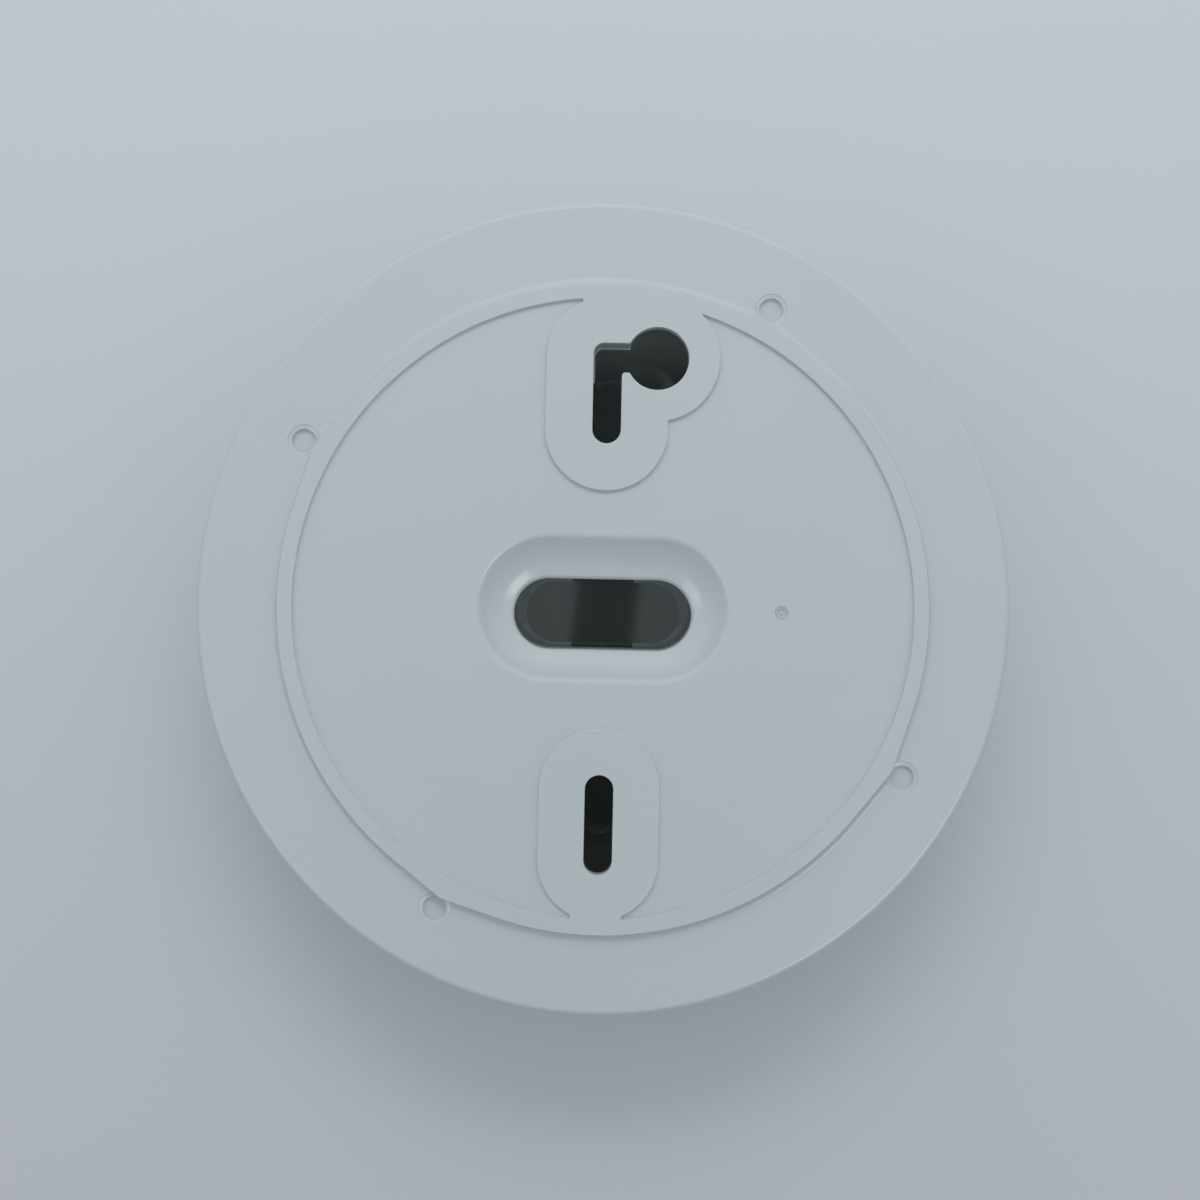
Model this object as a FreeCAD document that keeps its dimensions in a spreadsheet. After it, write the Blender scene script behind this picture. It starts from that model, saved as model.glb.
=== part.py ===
import FreeCAD, Part
import os
import re
import Sketcher

os.makedirs("parts", exist_ok=True)
doc = FreeCAD.newDocument("detector_base_sounder")
Vector = FreeCAD.Vector

# Driving dimensions, in millimetres and degrees.
# The unit lies on its front rim: z = 0 is the rim plane and +Z is the rear, wall or ceiling, side.
SIZES = {
    # rear casing, the moulded back seen from the wall side
    "unit_height": 28.0,
    "flange_width": 11.6,
    "flange_drop": 1.2,
    "flange_wall": 2.0,
    "flange_edge": 0.9,
    "plate_drop": 0.6,
    "plate_wall": 2.0,
    "ring_width": 2.15,
    "ring_corner_rise": 0.75,
    "ring_foot": 1.0,
    "spigot_wall": 1.6,
    "spigot_depth": 4.0,
    "well_wall": 1.5,
    # fixing slots and keyhole
    "fixing_spacing": 60.7,
    "slot_length": 14.0,
    "slot_width": 4.0,
    "keyhole_pad": 8.67,
    "slot_pad": 8.5,
    "keyhole_head_x": 7.0,
    "keyhole_head_y": 35.4,
    "keyhole_head_radius": 4.4,
    "keyhole_head_pad": 8.8,
    "passage_width": 4.1,
    "passage_corner": 1.4,
    "tongue_tip": 0.55,
    "stop_rib_depth": 6.7,
    "stop_rib_wall": 1.2,
    # cable entry
    "cable_length": 25.2,
    "cable_width": 10.0,
    "funnel_margin": 5.0,
    "funnel_depth": 2.4,
    "funnel_wall": 3.3,
    "lip_margin": 0.7,
    "gate_x": 25.2,
    "gate_radius": 1.1,
    "gate_depth": 0.15,
    # casing screws and their bosses
    "screw_outset": 4.4,
    "screw_angle": 61.8,
    "dimple_lip": 2.25,
    "dimple_floor": 1.65,
    "dimple_depth": 0.8,
    "rear_boss": 3.6,
    "front_boss": 4.0,
    "boss_meeting": 12.0,
    "screw_radius": 1.45,
    "screw_length": 16.0,
    "screw_head_radius": 2.8,
    "screw_head_height": 2.2,
    "screw_seat": 6.0,
    "thread_clearance": 0.05,
    "head_clearance": 0.2,
    "boss_rib_wall": 1.2,
    # front casing
    "rim_width": 10.2,
    "front_edge": 1.8,
    "side_wall": 2.0,
    "side_taper": 3.0,
    "side_inset": 0.3,
    "joint_clearance": 0.2,
    "joint_step": 4.8,
    "seat_radius": 44.0,
    "seat_depth": 7.5,
    "seat_edge": 0.6,
    "seat_wall": 1.8,
    "floor_wall": 1.8,
    "sound_slots": 24,
    "sound_slot_width": 2.4,
    "sound_slot_base": 11.0,
    "sound_slot_height": 8.5,
    "lug_reach": 2.2,
    "lug_top": 1.6,
    "lug_wall": 1.8,
    "lug_angle": 22.0,
    "key_lug_angle": 34.0,
    # circuit board
    "board_inset": 0.6,
    "board_wall": 1.6,
    "board_standoff": 4.3,
    "board_clearance": 0.5,
    "post_inset": 4.2,
    "post_angle": 48.0,
    "post_radius": 2.9,
    "board_screw_radius": 1.2,
    "board_screw_length": 5.4,
    "board_screw_head": 2.3,
    "board_screw_head_height": 1.5,
    # sounder
    "sounder_x": 31.0,
    "sounder_radius": 14.4,
    "lid_clearance": 0.2,
    "sounder_wall": 1.4,
    "sounder_floor": 1.2,
    "ledge_drop": 1.7,
    "ledge_reach": 1.0,
    "disc_clearance": 0.1,
    "disc_thickness": 0.3,
    "ceramic_radius": 9.6,
    "ceramic_thickness": 0.25,
    "port_width": 12.0,
    "port_height": 3.6,
    "port_base": 1.6,
    "lid_thickness": 0.9,
    "lid_skirt": 1.2,
    # terminals
    "terminal_inset": 9.5,
    "terminal_angle": 35.0,
    "pedestal_radial": 11.0,
    "pedestal_across": 13.0,
    "pedestal_height": 2.5,
    "blade_thickness": 0.8,
    "blade_width": 8.0,
    "blade_left": 6.0,
    "blade_right": 5.0,
    "tongue_rise": 3.4,
    "tongue_length": 3.8,
    "tongue_slope": 0.4,
    "bend_radius": 0.35,
    "tail_width": 1.6,
    "tail_reach": 1.0,
    "terminal_screw_y": 1.9,
    "terminal_screw_radius": 1.75,
    "terminal_screw_length": 8.0,
    "terminal_head_radius": 3.0,
    "terminal_head_height": 1.9,
    "driver_slot_width": 0.9,
    "driver_slot_depth": 0.9,
    "thread_fit": 0.07,
    "clamp_plate": 6.6,
    "clamp_thickness": 0.8,
    "clamp_gap": 1.0,
    "clamp_lip": 0.7,
    "clamp_lip_wall": 0.8,
    "clamp_side_clearance": 0.3,
    "blind_boss_radius": 3.4,
    "blind_boss_height": 3.0,
    "tip_clearance": 0.35,
    "tip_cover": 0.8,
    "tail_clearance": 0.2,
    # switches and trimmer
    "switch_x": -30.0,
    "switch_width": 9.9,
    "switch_pitch": 2.54,
    "switch_count": 6,
    "switch_end": 1.3,
    "switch_height": 5.0,
    "window_clearance": 0.4,
    "lever_width": 1.2,
    "lever_length": 1.2,
    "lever_travel": 1.6,
    "lever_stand": 0.9,
    "lever_depth": 1.9,
    "lever_clearance": 0.1,
    "trimmer_x": -17.0,
    "trimmer_y": -31.0,
    "trimmer_size": 6.6,
    "trimmer_clearance": 0.1,
    "trimmer_window": 3.6,
    "rotor_radius": 2.3,
    "rotor_height": 1.6,
    "rotor_stand": 0.7,
    "rotor_clearance": 0.08,
    # parts on the board
    "capacitor_one_x": -22.0,
    "capacitor_one_y": -11.5,
    "capacitor_one_radius": 4.0,
    "capacitor_one_height": 8.0,
    "capacitor_two_x": -22.0,
    "capacitor_two_y": 12.0,
    "capacitor_two_radius": 3.15,
    "capacitor_two_height": 7.0,
    "capacitor_edge": 0.4,
    "inductor_x": -33.0,
    "inductor_y": 3.0,
    "inductor_radius": 4.5,
    "inductor_height": 5.4,
    "inductor_flange": 0.9,
    "inductor_waist": 2.2,
    "chip_x": -9.0,
    "chip_y": -13.0,
    "chip_length": 10.3,
    "chip_width": 7.5,
    "chip_height": 2.3,
    "driver_x": 14.0,
    "driver_y": 14.5,
    "driver_length": 4.9,
    "driver_width": 3.9,
    "driver_height": 1.6,
}

sheet = doc.addObject("Spreadsheet::Sheet", "Sizes")
for row, (alias, value) in enumerate(SIZES.items(), start=1):
    sheet.set("A%d" % row, alias)
    sheet.set("B%d" % row, str(value))
    sheet.setAlias("B%d" % row, alias)
doc.recompute()

# Levels and radii that follow from the driving dimensions.
LEVELS = {
    "plate_top": "unit_height - plate_drop",
    "plate_under": "unit_height - plate_drop - plate_wall",
    "flange_top": "unit_height - flange_drop",
    "flange_under": "unit_height - flange_drop - flange_wall",
    "floor_rear": "seat_depth + floor_wall",
    "board_front": "seat_depth + floor_wall + board_standoff",
    "board_rear": "seat_depth + floor_wall + board_standoff + board_wall",
    "front_radius": "seat_radius + rim_width",
    "side_top_radius": "seat_radius + rim_width + side_taper",
    "flange_radius": "side_top_radius + side_inset",
    "spigot_outer": "side_top_radius - side_wall - joint_clearance",
    "ring_outer": "flange_radius - flange_width",
    "ring_inner": "ring_outer - ring_width",
    "ring_corner": "ring_outer + ring_corner_rise",
    "screw_circle": "seat_radius + screw_outset",
    "board_radius": "seat_radius - board_inset",
    "post_circle": "board_radius - post_inset",
    "terminal_circle": "seat_radius - terminal_inset",
    "slot_run": "slot_length / 2 - slot_width / 2",
    "pedestal_front": "seat_depth - pedestal_height",
    "clamp_rear": "seat_depth - pedestal_height - blade_thickness - clamp_gap",
    "disc_radius": "sounder_radius - sounder_wall - disc_clearance",
    "switch_front": "seat_depth + floor_wall + board_standoff - switch_height",
    "sounder_height": "flange_under - board_rear - lid_thickness - lid_clearance",
    "ledge_height": "sounder_height - ledge_drop",
    "trimmer_front": "floor_rear + trimmer_clearance",
    "trimmer_height": "board_front - trimmer_front",
}
first = len(SIZES) + 2
for row, (alias, formula) in enumerate(LEVELS.items(), start=first):
    sheet.set("A%d" % row, alias)
    sheet.set("B%d" % row, "=" + formula)
    sheet.setAlias("B%d" % row, alias)
doc.recompute()

NAMES = sorted(list(SIZES) + list(LEVELS), key=len, reverse=True)
WORD = re.compile(r"\b(" + "|".join(NAMES) + r")\b")


def bound(formula):
    # the sheet's aliases in a formula, written as references to its cells
    return WORD.sub(r"Sizes.\1", str(formula))


def value(formula):
    # what a formula gives with the sheet's present values
    return float(sheet.evalExpression(bound(formula)))


def piece(label):
    body = doc.addObject("PartDesign::Body", label)
    body.Label = label
    for item in [body.Origin] + body.Origin.OriginFeatures:
        item.purgeTouched()
    return body


def plane(body, role):
    return [part for part in body.Origin.OriginFeatures if part.Role == role][0]


def sketch(body, name, role, offset="0"):
    drawing = body.newObject("Sketcher::SketchObject", name)
    drawing.AttachmentSupport = [(plane(body, role), "")]
    drawing.MapMode = "FlatFace"
    drawing.setExpression("AttachmentOffset.Base.z", bound(offset))
    return drawing


def hold(drawing, kind, item, point, formula):
    # a distance from the sketch's origin, bound to the sheet
    number = drawing.addConstraint(Sketcher.Constraint(kind, -1, 1, item, point, value(formula)))
    drawing.setExpression("Constraints[%d]" % number, bound(formula))


def polygon(drawing, corners):
    points = [Vector(value(x), value(y), 0) for x, y in corners]
    start = drawing.GeometryCount
    count = len(points)
    for index in range(count):
        drawing.addGeometry(Part.LineSegment(points[index], points[(index + 1) % count]))
    for index in range(count):
        after = start + (index + 1) % count
        drawing.addConstraint(Sketcher.Constraint("Coincident", start + index, 2, after, 1))
    for index, (x, y) in enumerate(corners):
        hold(drawing, "DistanceX", start + index, 1, x)
        hold(drawing, "DistanceY", start + index, 1, y)


def rectangle(drawing, x, y, length, width):
    left, right = "(%s) - (%s) / 2" % (x, length), "(%s) + (%s) / 2" % (x, length)
    low, high = "(%s) - (%s) / 2" % (y, width), "(%s) + (%s) / 2" % (y, width)
    polygon(drawing, [(left, low), (right, low), (right, high), (left, high)])


def circle(drawing, x, y, radius):
    centre = Vector(value(x), value(y), 0)
    number = drawing.addGeometry(Part.Circle(centre, Vector(0, 0, 1), value(radius)))
    hold(drawing, "DistanceX", number, 3, x)
    hold(drawing, "DistanceY", number, 3, y)
    size = drawing.addConstraint(Sketcher.Constraint("Radius", number, value(radius)))
    drawing.setExpression("Constraints[%d]" % size, bound(radius))


def obround(drawing, x, y, run, radius, upright):
    # two half circles, "run" each side of the centre, joined by straight sides
    shift = ("0", run) if upright else (run, "0")
    ends = []
    for sign, turn in (("-", 180), ("+", 0)):
        middle_x = "(%s) %s (%s)" % (x, sign, shift[0])
        middle_y = "(%s) %s (%s)" % (y, sign, shift[1])
        low = turn if upright else turn - 90
        base = Part.Circle(Vector(value(middle_x), value(middle_y), 0), Vector(0, 0, 1), value(radius))
        low = low * 3.141592653589793 / 180
        arc = Part.ArcOfCircle(base, low, low + 3.141592653589793)
        number = drawing.addGeometry(arc)
        hold(drawing, "DistanceX", number, 3, middle_x)
        hold(drawing, "DistanceY", number, 3, middle_y)
        size = drawing.addConstraint(Sketcher.Constraint("Radius", number, value(radius)))
        drawing.setExpression("Constraints[%d]" % size, bound(radius))
        ends.append(number)
    first_arc, second_arc = ends
    for one, other in ((first_arc, second_arc), (second_arc, first_arc)):
        tail = drawing.getPoint(one, 2)
        head = drawing.getPoint(other, 1)
        side = drawing.addGeometry(Part.LineSegment(tail, head))
        drawing.addConstraint(Sketcher.Constraint("Tangent", one, 2, side, 1))
        drawing.addConstraint(Sketcher.Constraint("Tangent", side, 2, other, 1))


def settle(feature, *drawings):
    # recomputes the drawings and the feature made from them
    for item in drawings + (feature,):
        item.recompute()
        item.purgeTouched()
    return feature


def pad(body, drawing, length, down=False, midplane=False):
    feature = body.newObject("PartDesign::Pad", drawing.Label + "_pad")
    feature.Profile = drawing
    feature.setExpression("Length", bound(length))
    feature.Reversed = down
    feature.Midplane = midplane
    return settle(feature, drawing)


def pocket(body, drawing, length, up=False, midplane=False):
    before = body.Tip.Shape.Volume
    feature = body.newObject("PartDesign::Pocket", drawing.Label + "_pocket")
    feature.Profile = drawing
    feature.setExpression("Length", bound(length))
    feature.Reversed = up
    feature.Midplane = midplane
    settle(feature, drawing)
    if not feature.Shape.Volume < before - 1e-6:
        raise ValueError("nothing cut by " + feature.Label)
    return feature


def revolve(body, drawing, angle=None):
    feature = body.newObject("PartDesign::Revolution", drawing.Label + "_turned")
    feature.Profile = drawing
    feature.ReferenceAxis = (drawing, ["V_Axis"])
    if angle is None:
        feature.Angle = 360
    else:
        feature.Midplane = True
        feature.setExpression("Angle", bound(angle))
    return settle(feature, drawing)


def around(body, features, count, label):
    feature = body.newObject("PartDesign::PolarPattern", label)
    feature.Originals = features
    feature.Axis = (plane(body, "Z_Axis"), [""])
    feature.Angle = 360
    feature.setExpression("Occurrences", bound(count))
    body.Tip = feature
    return settle(feature)


def dress(body, kind, size, wanted, label):
    # fillet or chamfer of the edges for which wanted(edge) is true
    base = body.Tip
    names = ["Edge%d" % (n + 1) for n, edge in enumerate(base.Shape.Edges) if wanted(edge)]
    if not names:
        raise ValueError("no edge found for " + label)
    feature = body.newObject("PartDesign::" + kind, label)
    feature.Base = (base, names)
    feature.setExpression("Radius" if kind == "Fillet" else "Size", bound(size))
    return settle(feature)


def flat_edge(edge, level):
    box = edge.BoundBox
    return abs(box.ZMin - level) < 1e-4 and abs(box.ZMax - level) < 1e-4


def circle_edge(edge, radius, level):
    curve = edge.Curve
    if not isinstance(curve, Part.Circle) or not flat_edge(edge, level):
        return False
    on_axis = abs(curve.Center.x) < 1e-4 and abs(curve.Center.y) < 1e-4
    return on_axis and abs(curve.Radius - radius) < 1e-3


def upright_edge(edge, x, y):
    box = edge.BoundBox
    thin = box.XLength < 1e-4 and box.YLength < 1e-4
    return thin and abs(box.XMin - x) < 1e-3 and abs(box.YMin - y) < 1e-3


def place(body, x, y, z="0", turn=None):
    # the piece's Placement, bound to the sheet
    if turn is not None:
        body.Placement.Rotation = FreeCAD.Rotation(Vector(0, 0, 1), 1.0)
        body.setExpression("Placement.Rotation.Angle", bound(turn))
    body.setExpression("Placement.Base.x", bound(x))
    body.setExpression("Placement.Base.y", bound(y))
    body.setExpression("Placement.Base.z", bound(z))


# Outlines shared by the rear casing, the circuit board and the seat floor

def keyhole_outline(body, name, offset, margin):
    # the region around the keyhole: an obround about the slot and a circle about the head
    slot = sketch(body, name + "_slot", "XY_Plane", offset)
    obround(slot, "0", "fixing_spacing / 2", "slot_run", "keyhole_pad + (%s)" % margin, True)
    head = sketch(body, name + "_head", "XY_Plane", offset)
    circle(head, "keyhole_head_x", "keyhole_head_y", "keyhole_head_pad + (%s)" % margin)
    return slot, head


def slot_outline(body, name, offset, margin):
    slot = sketch(body, name, "XY_Plane", offset)
    obround(slot, "0", "-fixing_spacing / 2", "slot_run", "slot_pad + (%s)" % margin, True)
    return slot


def cable_outline(body, name, offset, margin):
    hole = sketch(body, name, "XY_Plane", offset)
    run = "cable_length / 2 - cable_width / 2"
    obround(hole, "0", "0", run, "cable_width / 2 + (%s)" % margin, False)
    return hole


# Rear casing: plate, raised ring and flange in one turned profile

rear = piece("rear_casing")
profile = sketch(rear, "rear_profile", "XZ_Plane")
polygon(profile, [
    ("0", "plate_under"),
    ("ring_inner", "plate_under"),
    ("ring_outer", "flange_under"),
    ("spigot_outer - spigot_wall", "flange_under"),
    ("spigot_outer - spigot_wall", "flange_under - spigot_depth"),
    ("spigot_outer", "flange_under - spigot_depth"),
    ("spigot_outer", "flange_under"),
    ("flange_radius", "flange_under"),
    ("flange_radius", "flange_top"),
    ("ring_outer", "flange_top"),
    ("ring_outer", "unit_height"),
    ("ring_inner", "unit_height"),
    ("ring_inner", "plate_top"),
    ("0", "plate_top"),
])
revolve(rear, profile)

# Four outward corners of the ring, each pointing at a screw boss
touch_x = "ring_outer ^ 2 / ring_corner"
touch_y = "ring_outer * sqrt(1 - (ring_outer / ring_corner) ^ 2)"
corner = sketch(rear, "ring_corner_outline", "XY_Plane", "flange_top")
axis_x, axis_y = "cos(screw_angle * 1deg)", "sin(screw_angle * 1deg)"


def turned(x, y):
    return (
        "(%s) * %s - (%s) * %s" % (x, axis_x, y, axis_y),
        "(%s) * %s + (%s) * %s" % (x, axis_y, y, axis_x),
    )


polygon(corner, [
    turned("ring_corner", "0"),
    turned(touch_x, touch_y),
    turned("ring_inner + 1", "0"),
    turned(touch_x, "-(%s)" % touch_y),
])
corner_pad = pad(rear, corner, "flange_drop")
around(rear, [corner_pad], "4", "ring_corners")

# Fillet at the foot of the ring's outer step, and the flange's outer edges
level = value("flange_top")
foot_low = value("ring_outer") - 0.02
foot_high = value("ring_corner") + 0.02


def is_foot(edge):
    if not flat_edge(edge, level):
        return False
    reach = [vertex.Point.x ** 2 + vertex.Point.y ** 2 for vertex in edge.Vertexes]
    if isinstance(edge.Curve, Part.Circle) and abs(edge.Curve.Radius - value("ring_outer")) > 1e-3:
        return False
    return all(foot_low ** 2 < r < foot_high ** 2 for r in reach)


dress(rear, "Fillet", "ring_foot", is_foot, "ring_foot_fillet")
dress(
    rear, "Fillet", "flange_edge",
    lambda edge: circle_edge(edge, value("flange_radius"), value("flange_top")),
    "flange_edge_fillet",
)

# Raised pads around the keyhole and the straight slot, level with the ring
for outline in keyhole_outline(rear, "keyhole_pad", "plate_top", "0"):
    pad(rear, outline, "plate_drop")
pad(rear, slot_outline(rear, "slot_pad", "plate_top", "0"), "plate_drop")

# Well walls under the pads and the cable entry, down to the seat floor of the front casing
for outline in keyhole_outline(rear, "keyhole_well", "floor_rear", "0"):
    pad(rear, outline, "plate_under - floor_rear")
pad(rear, slot_outline(rear, "slot_well", "floor_rear", "0"), "plate_under - floor_rear")
pad(rear, cable_outline(rear, "cable_well", "floor_rear", "well_wall"), "plate_under - floor_rear")

# Cable funnel: a dish around the opening, with the plate's wall carried down behind it
below = sketch(rear, "funnel_back_low", "XY_Plane", "plate_under - funnel_depth")
run = "cable_length / 2 - cable_width / 2"
obround(below, "0", "0", run, "cable_width / 2 + lip_margin + well_wall", False)
above = sketch(rear, "funnel_back_high", "XY_Plane", "plate_under")
obround(above, "0", "0", run, "cable_width / 2 + funnel_wall", False)
back = rear.newObject("PartDesign::AdditiveLoft", "funnel_back")
back.Profile = below
back.Sections = [above]
back.Ruled = True
settle(back, below, above)

top = sketch(rear, "funnel_top", "XY_Plane", "plate_top")
obround(top, "0", "0", run, "cable_width / 2 + funnel_margin", False)
waist = sketch(rear, "funnel_waist", "XY_Plane", "plate_top - funnel_depth * 0.72")
obround(waist, "0", "0", run, "cable_width / 2 + funnel_margin * 0.5", False)
base = sketch(rear, "funnel_base", "XY_Plane", "plate_top - funnel_depth")
obround(base, "0", "0", run, "cable_width / 2 + lip_margin", False)
dish = rear.newObject("PartDesign::SubtractiveLoft", "funnel_dish")
dish.Profile = top
dish.Sections = [waist, base]
dish.Ruled = False
settle(dish, top, waist, base)

# Cable opening and well, through to the front
pocket(rear, cable_outline(rear, "cable_hole", "unit_height", "0"), "unit_height")

# Wells hollowed behind the pads
for outline in keyhole_outline(rear, "keyhole_hollow", "plate_under", "-well_wall"):
    pocket(rear, outline, "plate_under - floor_rear")
hollow = slot_outline(rear, "slot_hollow", "plate_under", "-well_wall")
pocket(rear, hollow, "plate_under - floor_rear")

# Stop rib that follows the keyhole's upper corner inside its well
rib = sketch(rear, "stop_rib", "XY_Plane", "unit_height - stop_rib_depth")
half = "slot_width / 2"
arch = "keyhole_head_y + passage_width / 2"
polygon(rib, [
    ("-(%s)" % half, "keyhole_head_y - 3"),
    ("-(%s)" % half, arch),
    ("keyhole_head_x - keyhole_head_radius * 0.85", arch),
    ("keyhole_head_x - keyhole_head_radius * 0.85", arch + " + stop_rib_wall"),
    ("-(%s) - stop_rib_wall" % half, arch + " + stop_rib_wall"),
    ("-(%s) - stop_rib_wall" % half, "keyhole_head_y - 3"),
])
pad(rear, rib, "plate_under - unit_height + stop_rib_depth")

# Keyhole: slot, passage and round head, then the straight slot
slot_cut = sketch(rear, "keyhole_slot", "XY_Plane", "unit_height")
obround(slot_cut, "0", "fixing_spacing / 2", "slot_run", "slot_width / 2", True)
pocket(rear, slot_cut, "plate_drop + plate_wall")
passage = sketch(rear, "keyhole_passage", "XY_Plane", "unit_height")
polygon(passage, [
    ("-slot_width / 2", "keyhole_head_y - passage_width / 2"),
    ("keyhole_head_x", "keyhole_head_y - passage_width / 2"),
    ("keyhole_head_x", "keyhole_head_y + passage_width / 2"),
    ("-slot_width / 2", "keyhole_head_y + passage_width / 2"),
])
pocket(rear, passage, "plate_drop + plate_wall")
head_cut = sketch(rear, "keyhole_head", "XY_Plane", "unit_height")
circle(head_cut, "keyhole_head_x", "keyhole_head_y", "keyhole_head_radius")
pocket(rear, head_cut, "plate_drop + plate_wall")
corner_at = (value("-slot_width / 2"), value("keyhole_head_y + passage_width / 2"))
dress(
    rear, "Fillet", "passage_corner",
    lambda edge: upright_edge(edge, corner_at[0], corner_at[1]) and edge.BoundBox.ZMax > value("plate_top"),
    "passage_corner_fillet",
)
tongue_at = (value("slot_width / 2"), value("keyhole_head_y - passage_width / 2"))
dress(
    rear, "Fillet", "tongue_tip",
    lambda edge: upright_edge(edge, tongue_at[0], tongue_at[1]) and edge.BoundBox.ZMax > value("plate_top"),
    "tongue_tip_fillet",
)
straight = sketch(rear, "straight_slot", "XY_Plane", "unit_height")
obround(straight, "0", "-fixing_spacing / 2", "slot_run", "slot_width / 2", True)
pocket(rear, straight, "plate_drop + plate_wall")

# Screw bosses inside the flange, each with a blind dimple on the rear face
boss = sketch(rear, "boss", "XY_Plane", "boss_meeting")
boss_x, boss_y = "screw_circle * " + axis_x, "screw_circle * " + axis_y
circle(boss, boss_x, boss_y, "rear_boss")
boss_pad = pad(rear, boss, "flange_under - boss_meeting")
rib_line = sketch(rear, "boss_rib", "XY_Plane", "flange_under - spigot_depth")
inner, outer = "screw_circle + rear_boss - 1", "spigot_outer - spigot_wall / 2"
polygon(rib_line, [
    turned(inner, "-boss_rib_wall / 2"),
    turned(outer, "-boss_rib_wall / 2"),
    turned(outer, "boss_rib_wall / 2"),
    turned(inner, "boss_rib_wall / 2"),
])
rib_pad = pad(rear, rib_line, "spigot_depth")
around(rear, [boss_pad, rib_pad], "4", "bosses")
pilot = sketch(rear, "pilot", "XY_Plane", "boss_meeting")
circle(pilot, boss_x, boss_y, "screw_radius + thread_clearance")
pilot_cut = pocket(rear, pilot, "screw_seat + screw_length + 0.6 - boss_meeting", up=True)
lip = sketch(rear, "dimple_lip", "XY_Plane", "flange_top")
circle(lip, boss_x, boss_y, "dimple_lip")
lip_cut = pocket(rear, lip, "dimple_depth * 0.25")
floor = sketch(rear, "dimple_floor", "XY_Plane", "flange_top")
circle(floor, boss_x, boss_y, "dimple_floor")
floor_cut = pocket(rear, floor, "dimple_depth")
around(rear, [pilot_cut, lip_cut, floor_cut], "4", "boss_holes")

# Gate mark: a small crater in a shallow dish
gate = sketch(rear, "gate_mark", "XY_Plane", "plate_top")
circle(gate, "gate_x", "0", "gate_radius")
pocket(rear, gate, "gate_depth")

# Front casing: tapered side wall, rim and seat in one turned profile

front = piece("front_casing")
profile = sketch(front, "front_profile", "XZ_Plane")
inner_top = "side_top_radius - side_wall"
polygon(profile, [
    ("seat_radius", "0"),
    ("front_radius", "0"),
    ("side_top_radius", "flange_under"),
    (inner_top, "flange_under"),
    (inner_top, "flange_under - joint_step"),
    ("front_radius - side_wall + 0.2", "side_wall"),
    ("seat_radius + seat_wall", "side_wall"),
    ("seat_radius + seat_wall", "floor_rear"),
    ("0", "floor_rear"),
    ("0", "seat_depth"),
    ("seat_radius", "seat_depth"),
])
revolve(front, profile)
dress(
    front, "Fillet", "front_edge",
    lambda edge: circle_edge(edge, value("front_radius"), 0.0),
    "front_edge_fillet",
)
dress(
    front, "Fillet", "seat_edge",
    lambda edge: circle_edge(edge, value("seat_radius"), 0.0),
    "seat_edge_fillet",
)

# Screw bosses with counterbores that open in the rim
boss = sketch(front, "front_boss", "XY_Plane", "side_wall / 2")
circle(boss, boss_x, boss_y, "front_boss")
boss_pad = pad(front, boss, "boss_meeting - side_wall / 2")
around(front, [boss_pad], "4", "front_bosses")
bore = sketch(front, "counterbore", "XY_Plane")
circle(bore, boss_x, boss_y, "screw_head_radius + head_clearance")
bore_cut = pocket(front, bore, "screw_seat", up=True)
hole = sketch(front, "screw_hole", "XY_Plane")
circle(hole, boss_x, boss_y, "screw_radius + head_clearance")
hole_cut = pocket(front, hole, "boss_meeting", up=True)
around(front, [bore_cut, hole_cut], "4", "front_screw_holes")

# Openings of the wells in the seat floor
for outline in keyhole_outline(front, "keyhole_view", "floor_rear", "-well_wall"):
    pocket(front, outline, "floor_wall")
pocket(front, slot_outline(front, "slot_view", "floor_rear", "-well_wall"), "floor_wall")
pocket(front, cable_outline(front, "cable_view", "floor_rear", "0"), "floor_wall")

# Bayonet lugs on the seat wall, one of them wider as a key
lug = sketch(front, "lug_profile", "XZ_Plane")
polygon(lug, [
    ("seat_radius + 0.5", "lug_top"),
    ("seat_radius + 0.5", "lug_top + lug_wall + lug_reach * 0.4"),
    ("seat_radius", "lug_top + lug_wall + lug_reach * 0.4"),
    ("seat_radius - lug_reach", "lug_top + lug_wall"),
    ("seat_radius - lug_reach", "lug_top"),
])
lug_pad = revolve(front, lug, "lug_angle")
around(front, [lug_pad], "3", "lugs")
key = sketch(front, "key_lug_profile", "XZ_Plane")
polygon(key, [
    ("seat_radius + 0.5", "lug_top"),
    ("seat_radius + 0.5", "lug_top + lug_wall + lug_reach * 0.4"),
    ("seat_radius", "lug_top + lug_wall + lug_reach * 0.4"),
    ("seat_radius - lug_reach", "lug_top + lug_wall"),
    ("seat_radius - lug_reach", "lug_top"),
])
revolve(front, key, "key_lug_angle")

# Terminal pedestals on the seat floor, with blind bosses behind them for the screw tips
TERMINALS = [
    "terminal_angle",
    "180 - terminal_angle",
    "180 + terminal_angle",
    "360 - terminal_angle",
]


def at_terminal(angle, x, y):
    # a point of a terminal's own frame (x outward, y across) in the part's frame
    c, s = "cos((%s) * 1deg)" % angle, "sin((%s) * 1deg)" % angle
    out = "(terminal_circle + (%s))" % x
    return "%s * %s - (%s) * %s" % (out, c, y, s), "%s * %s + (%s) * %s" % (out, s, y, c)


def at_corners(drawing, angle, near, far, half):
    # a rectangle in a terminal's own frame
    polygon(drawing, [
        at_terminal(angle, near, "-(%s)" % half),
        at_terminal(angle, far, "-(%s)" % half),
        at_terminal(angle, far, half),
        at_terminal(angle, near, half),
    ])


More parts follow.
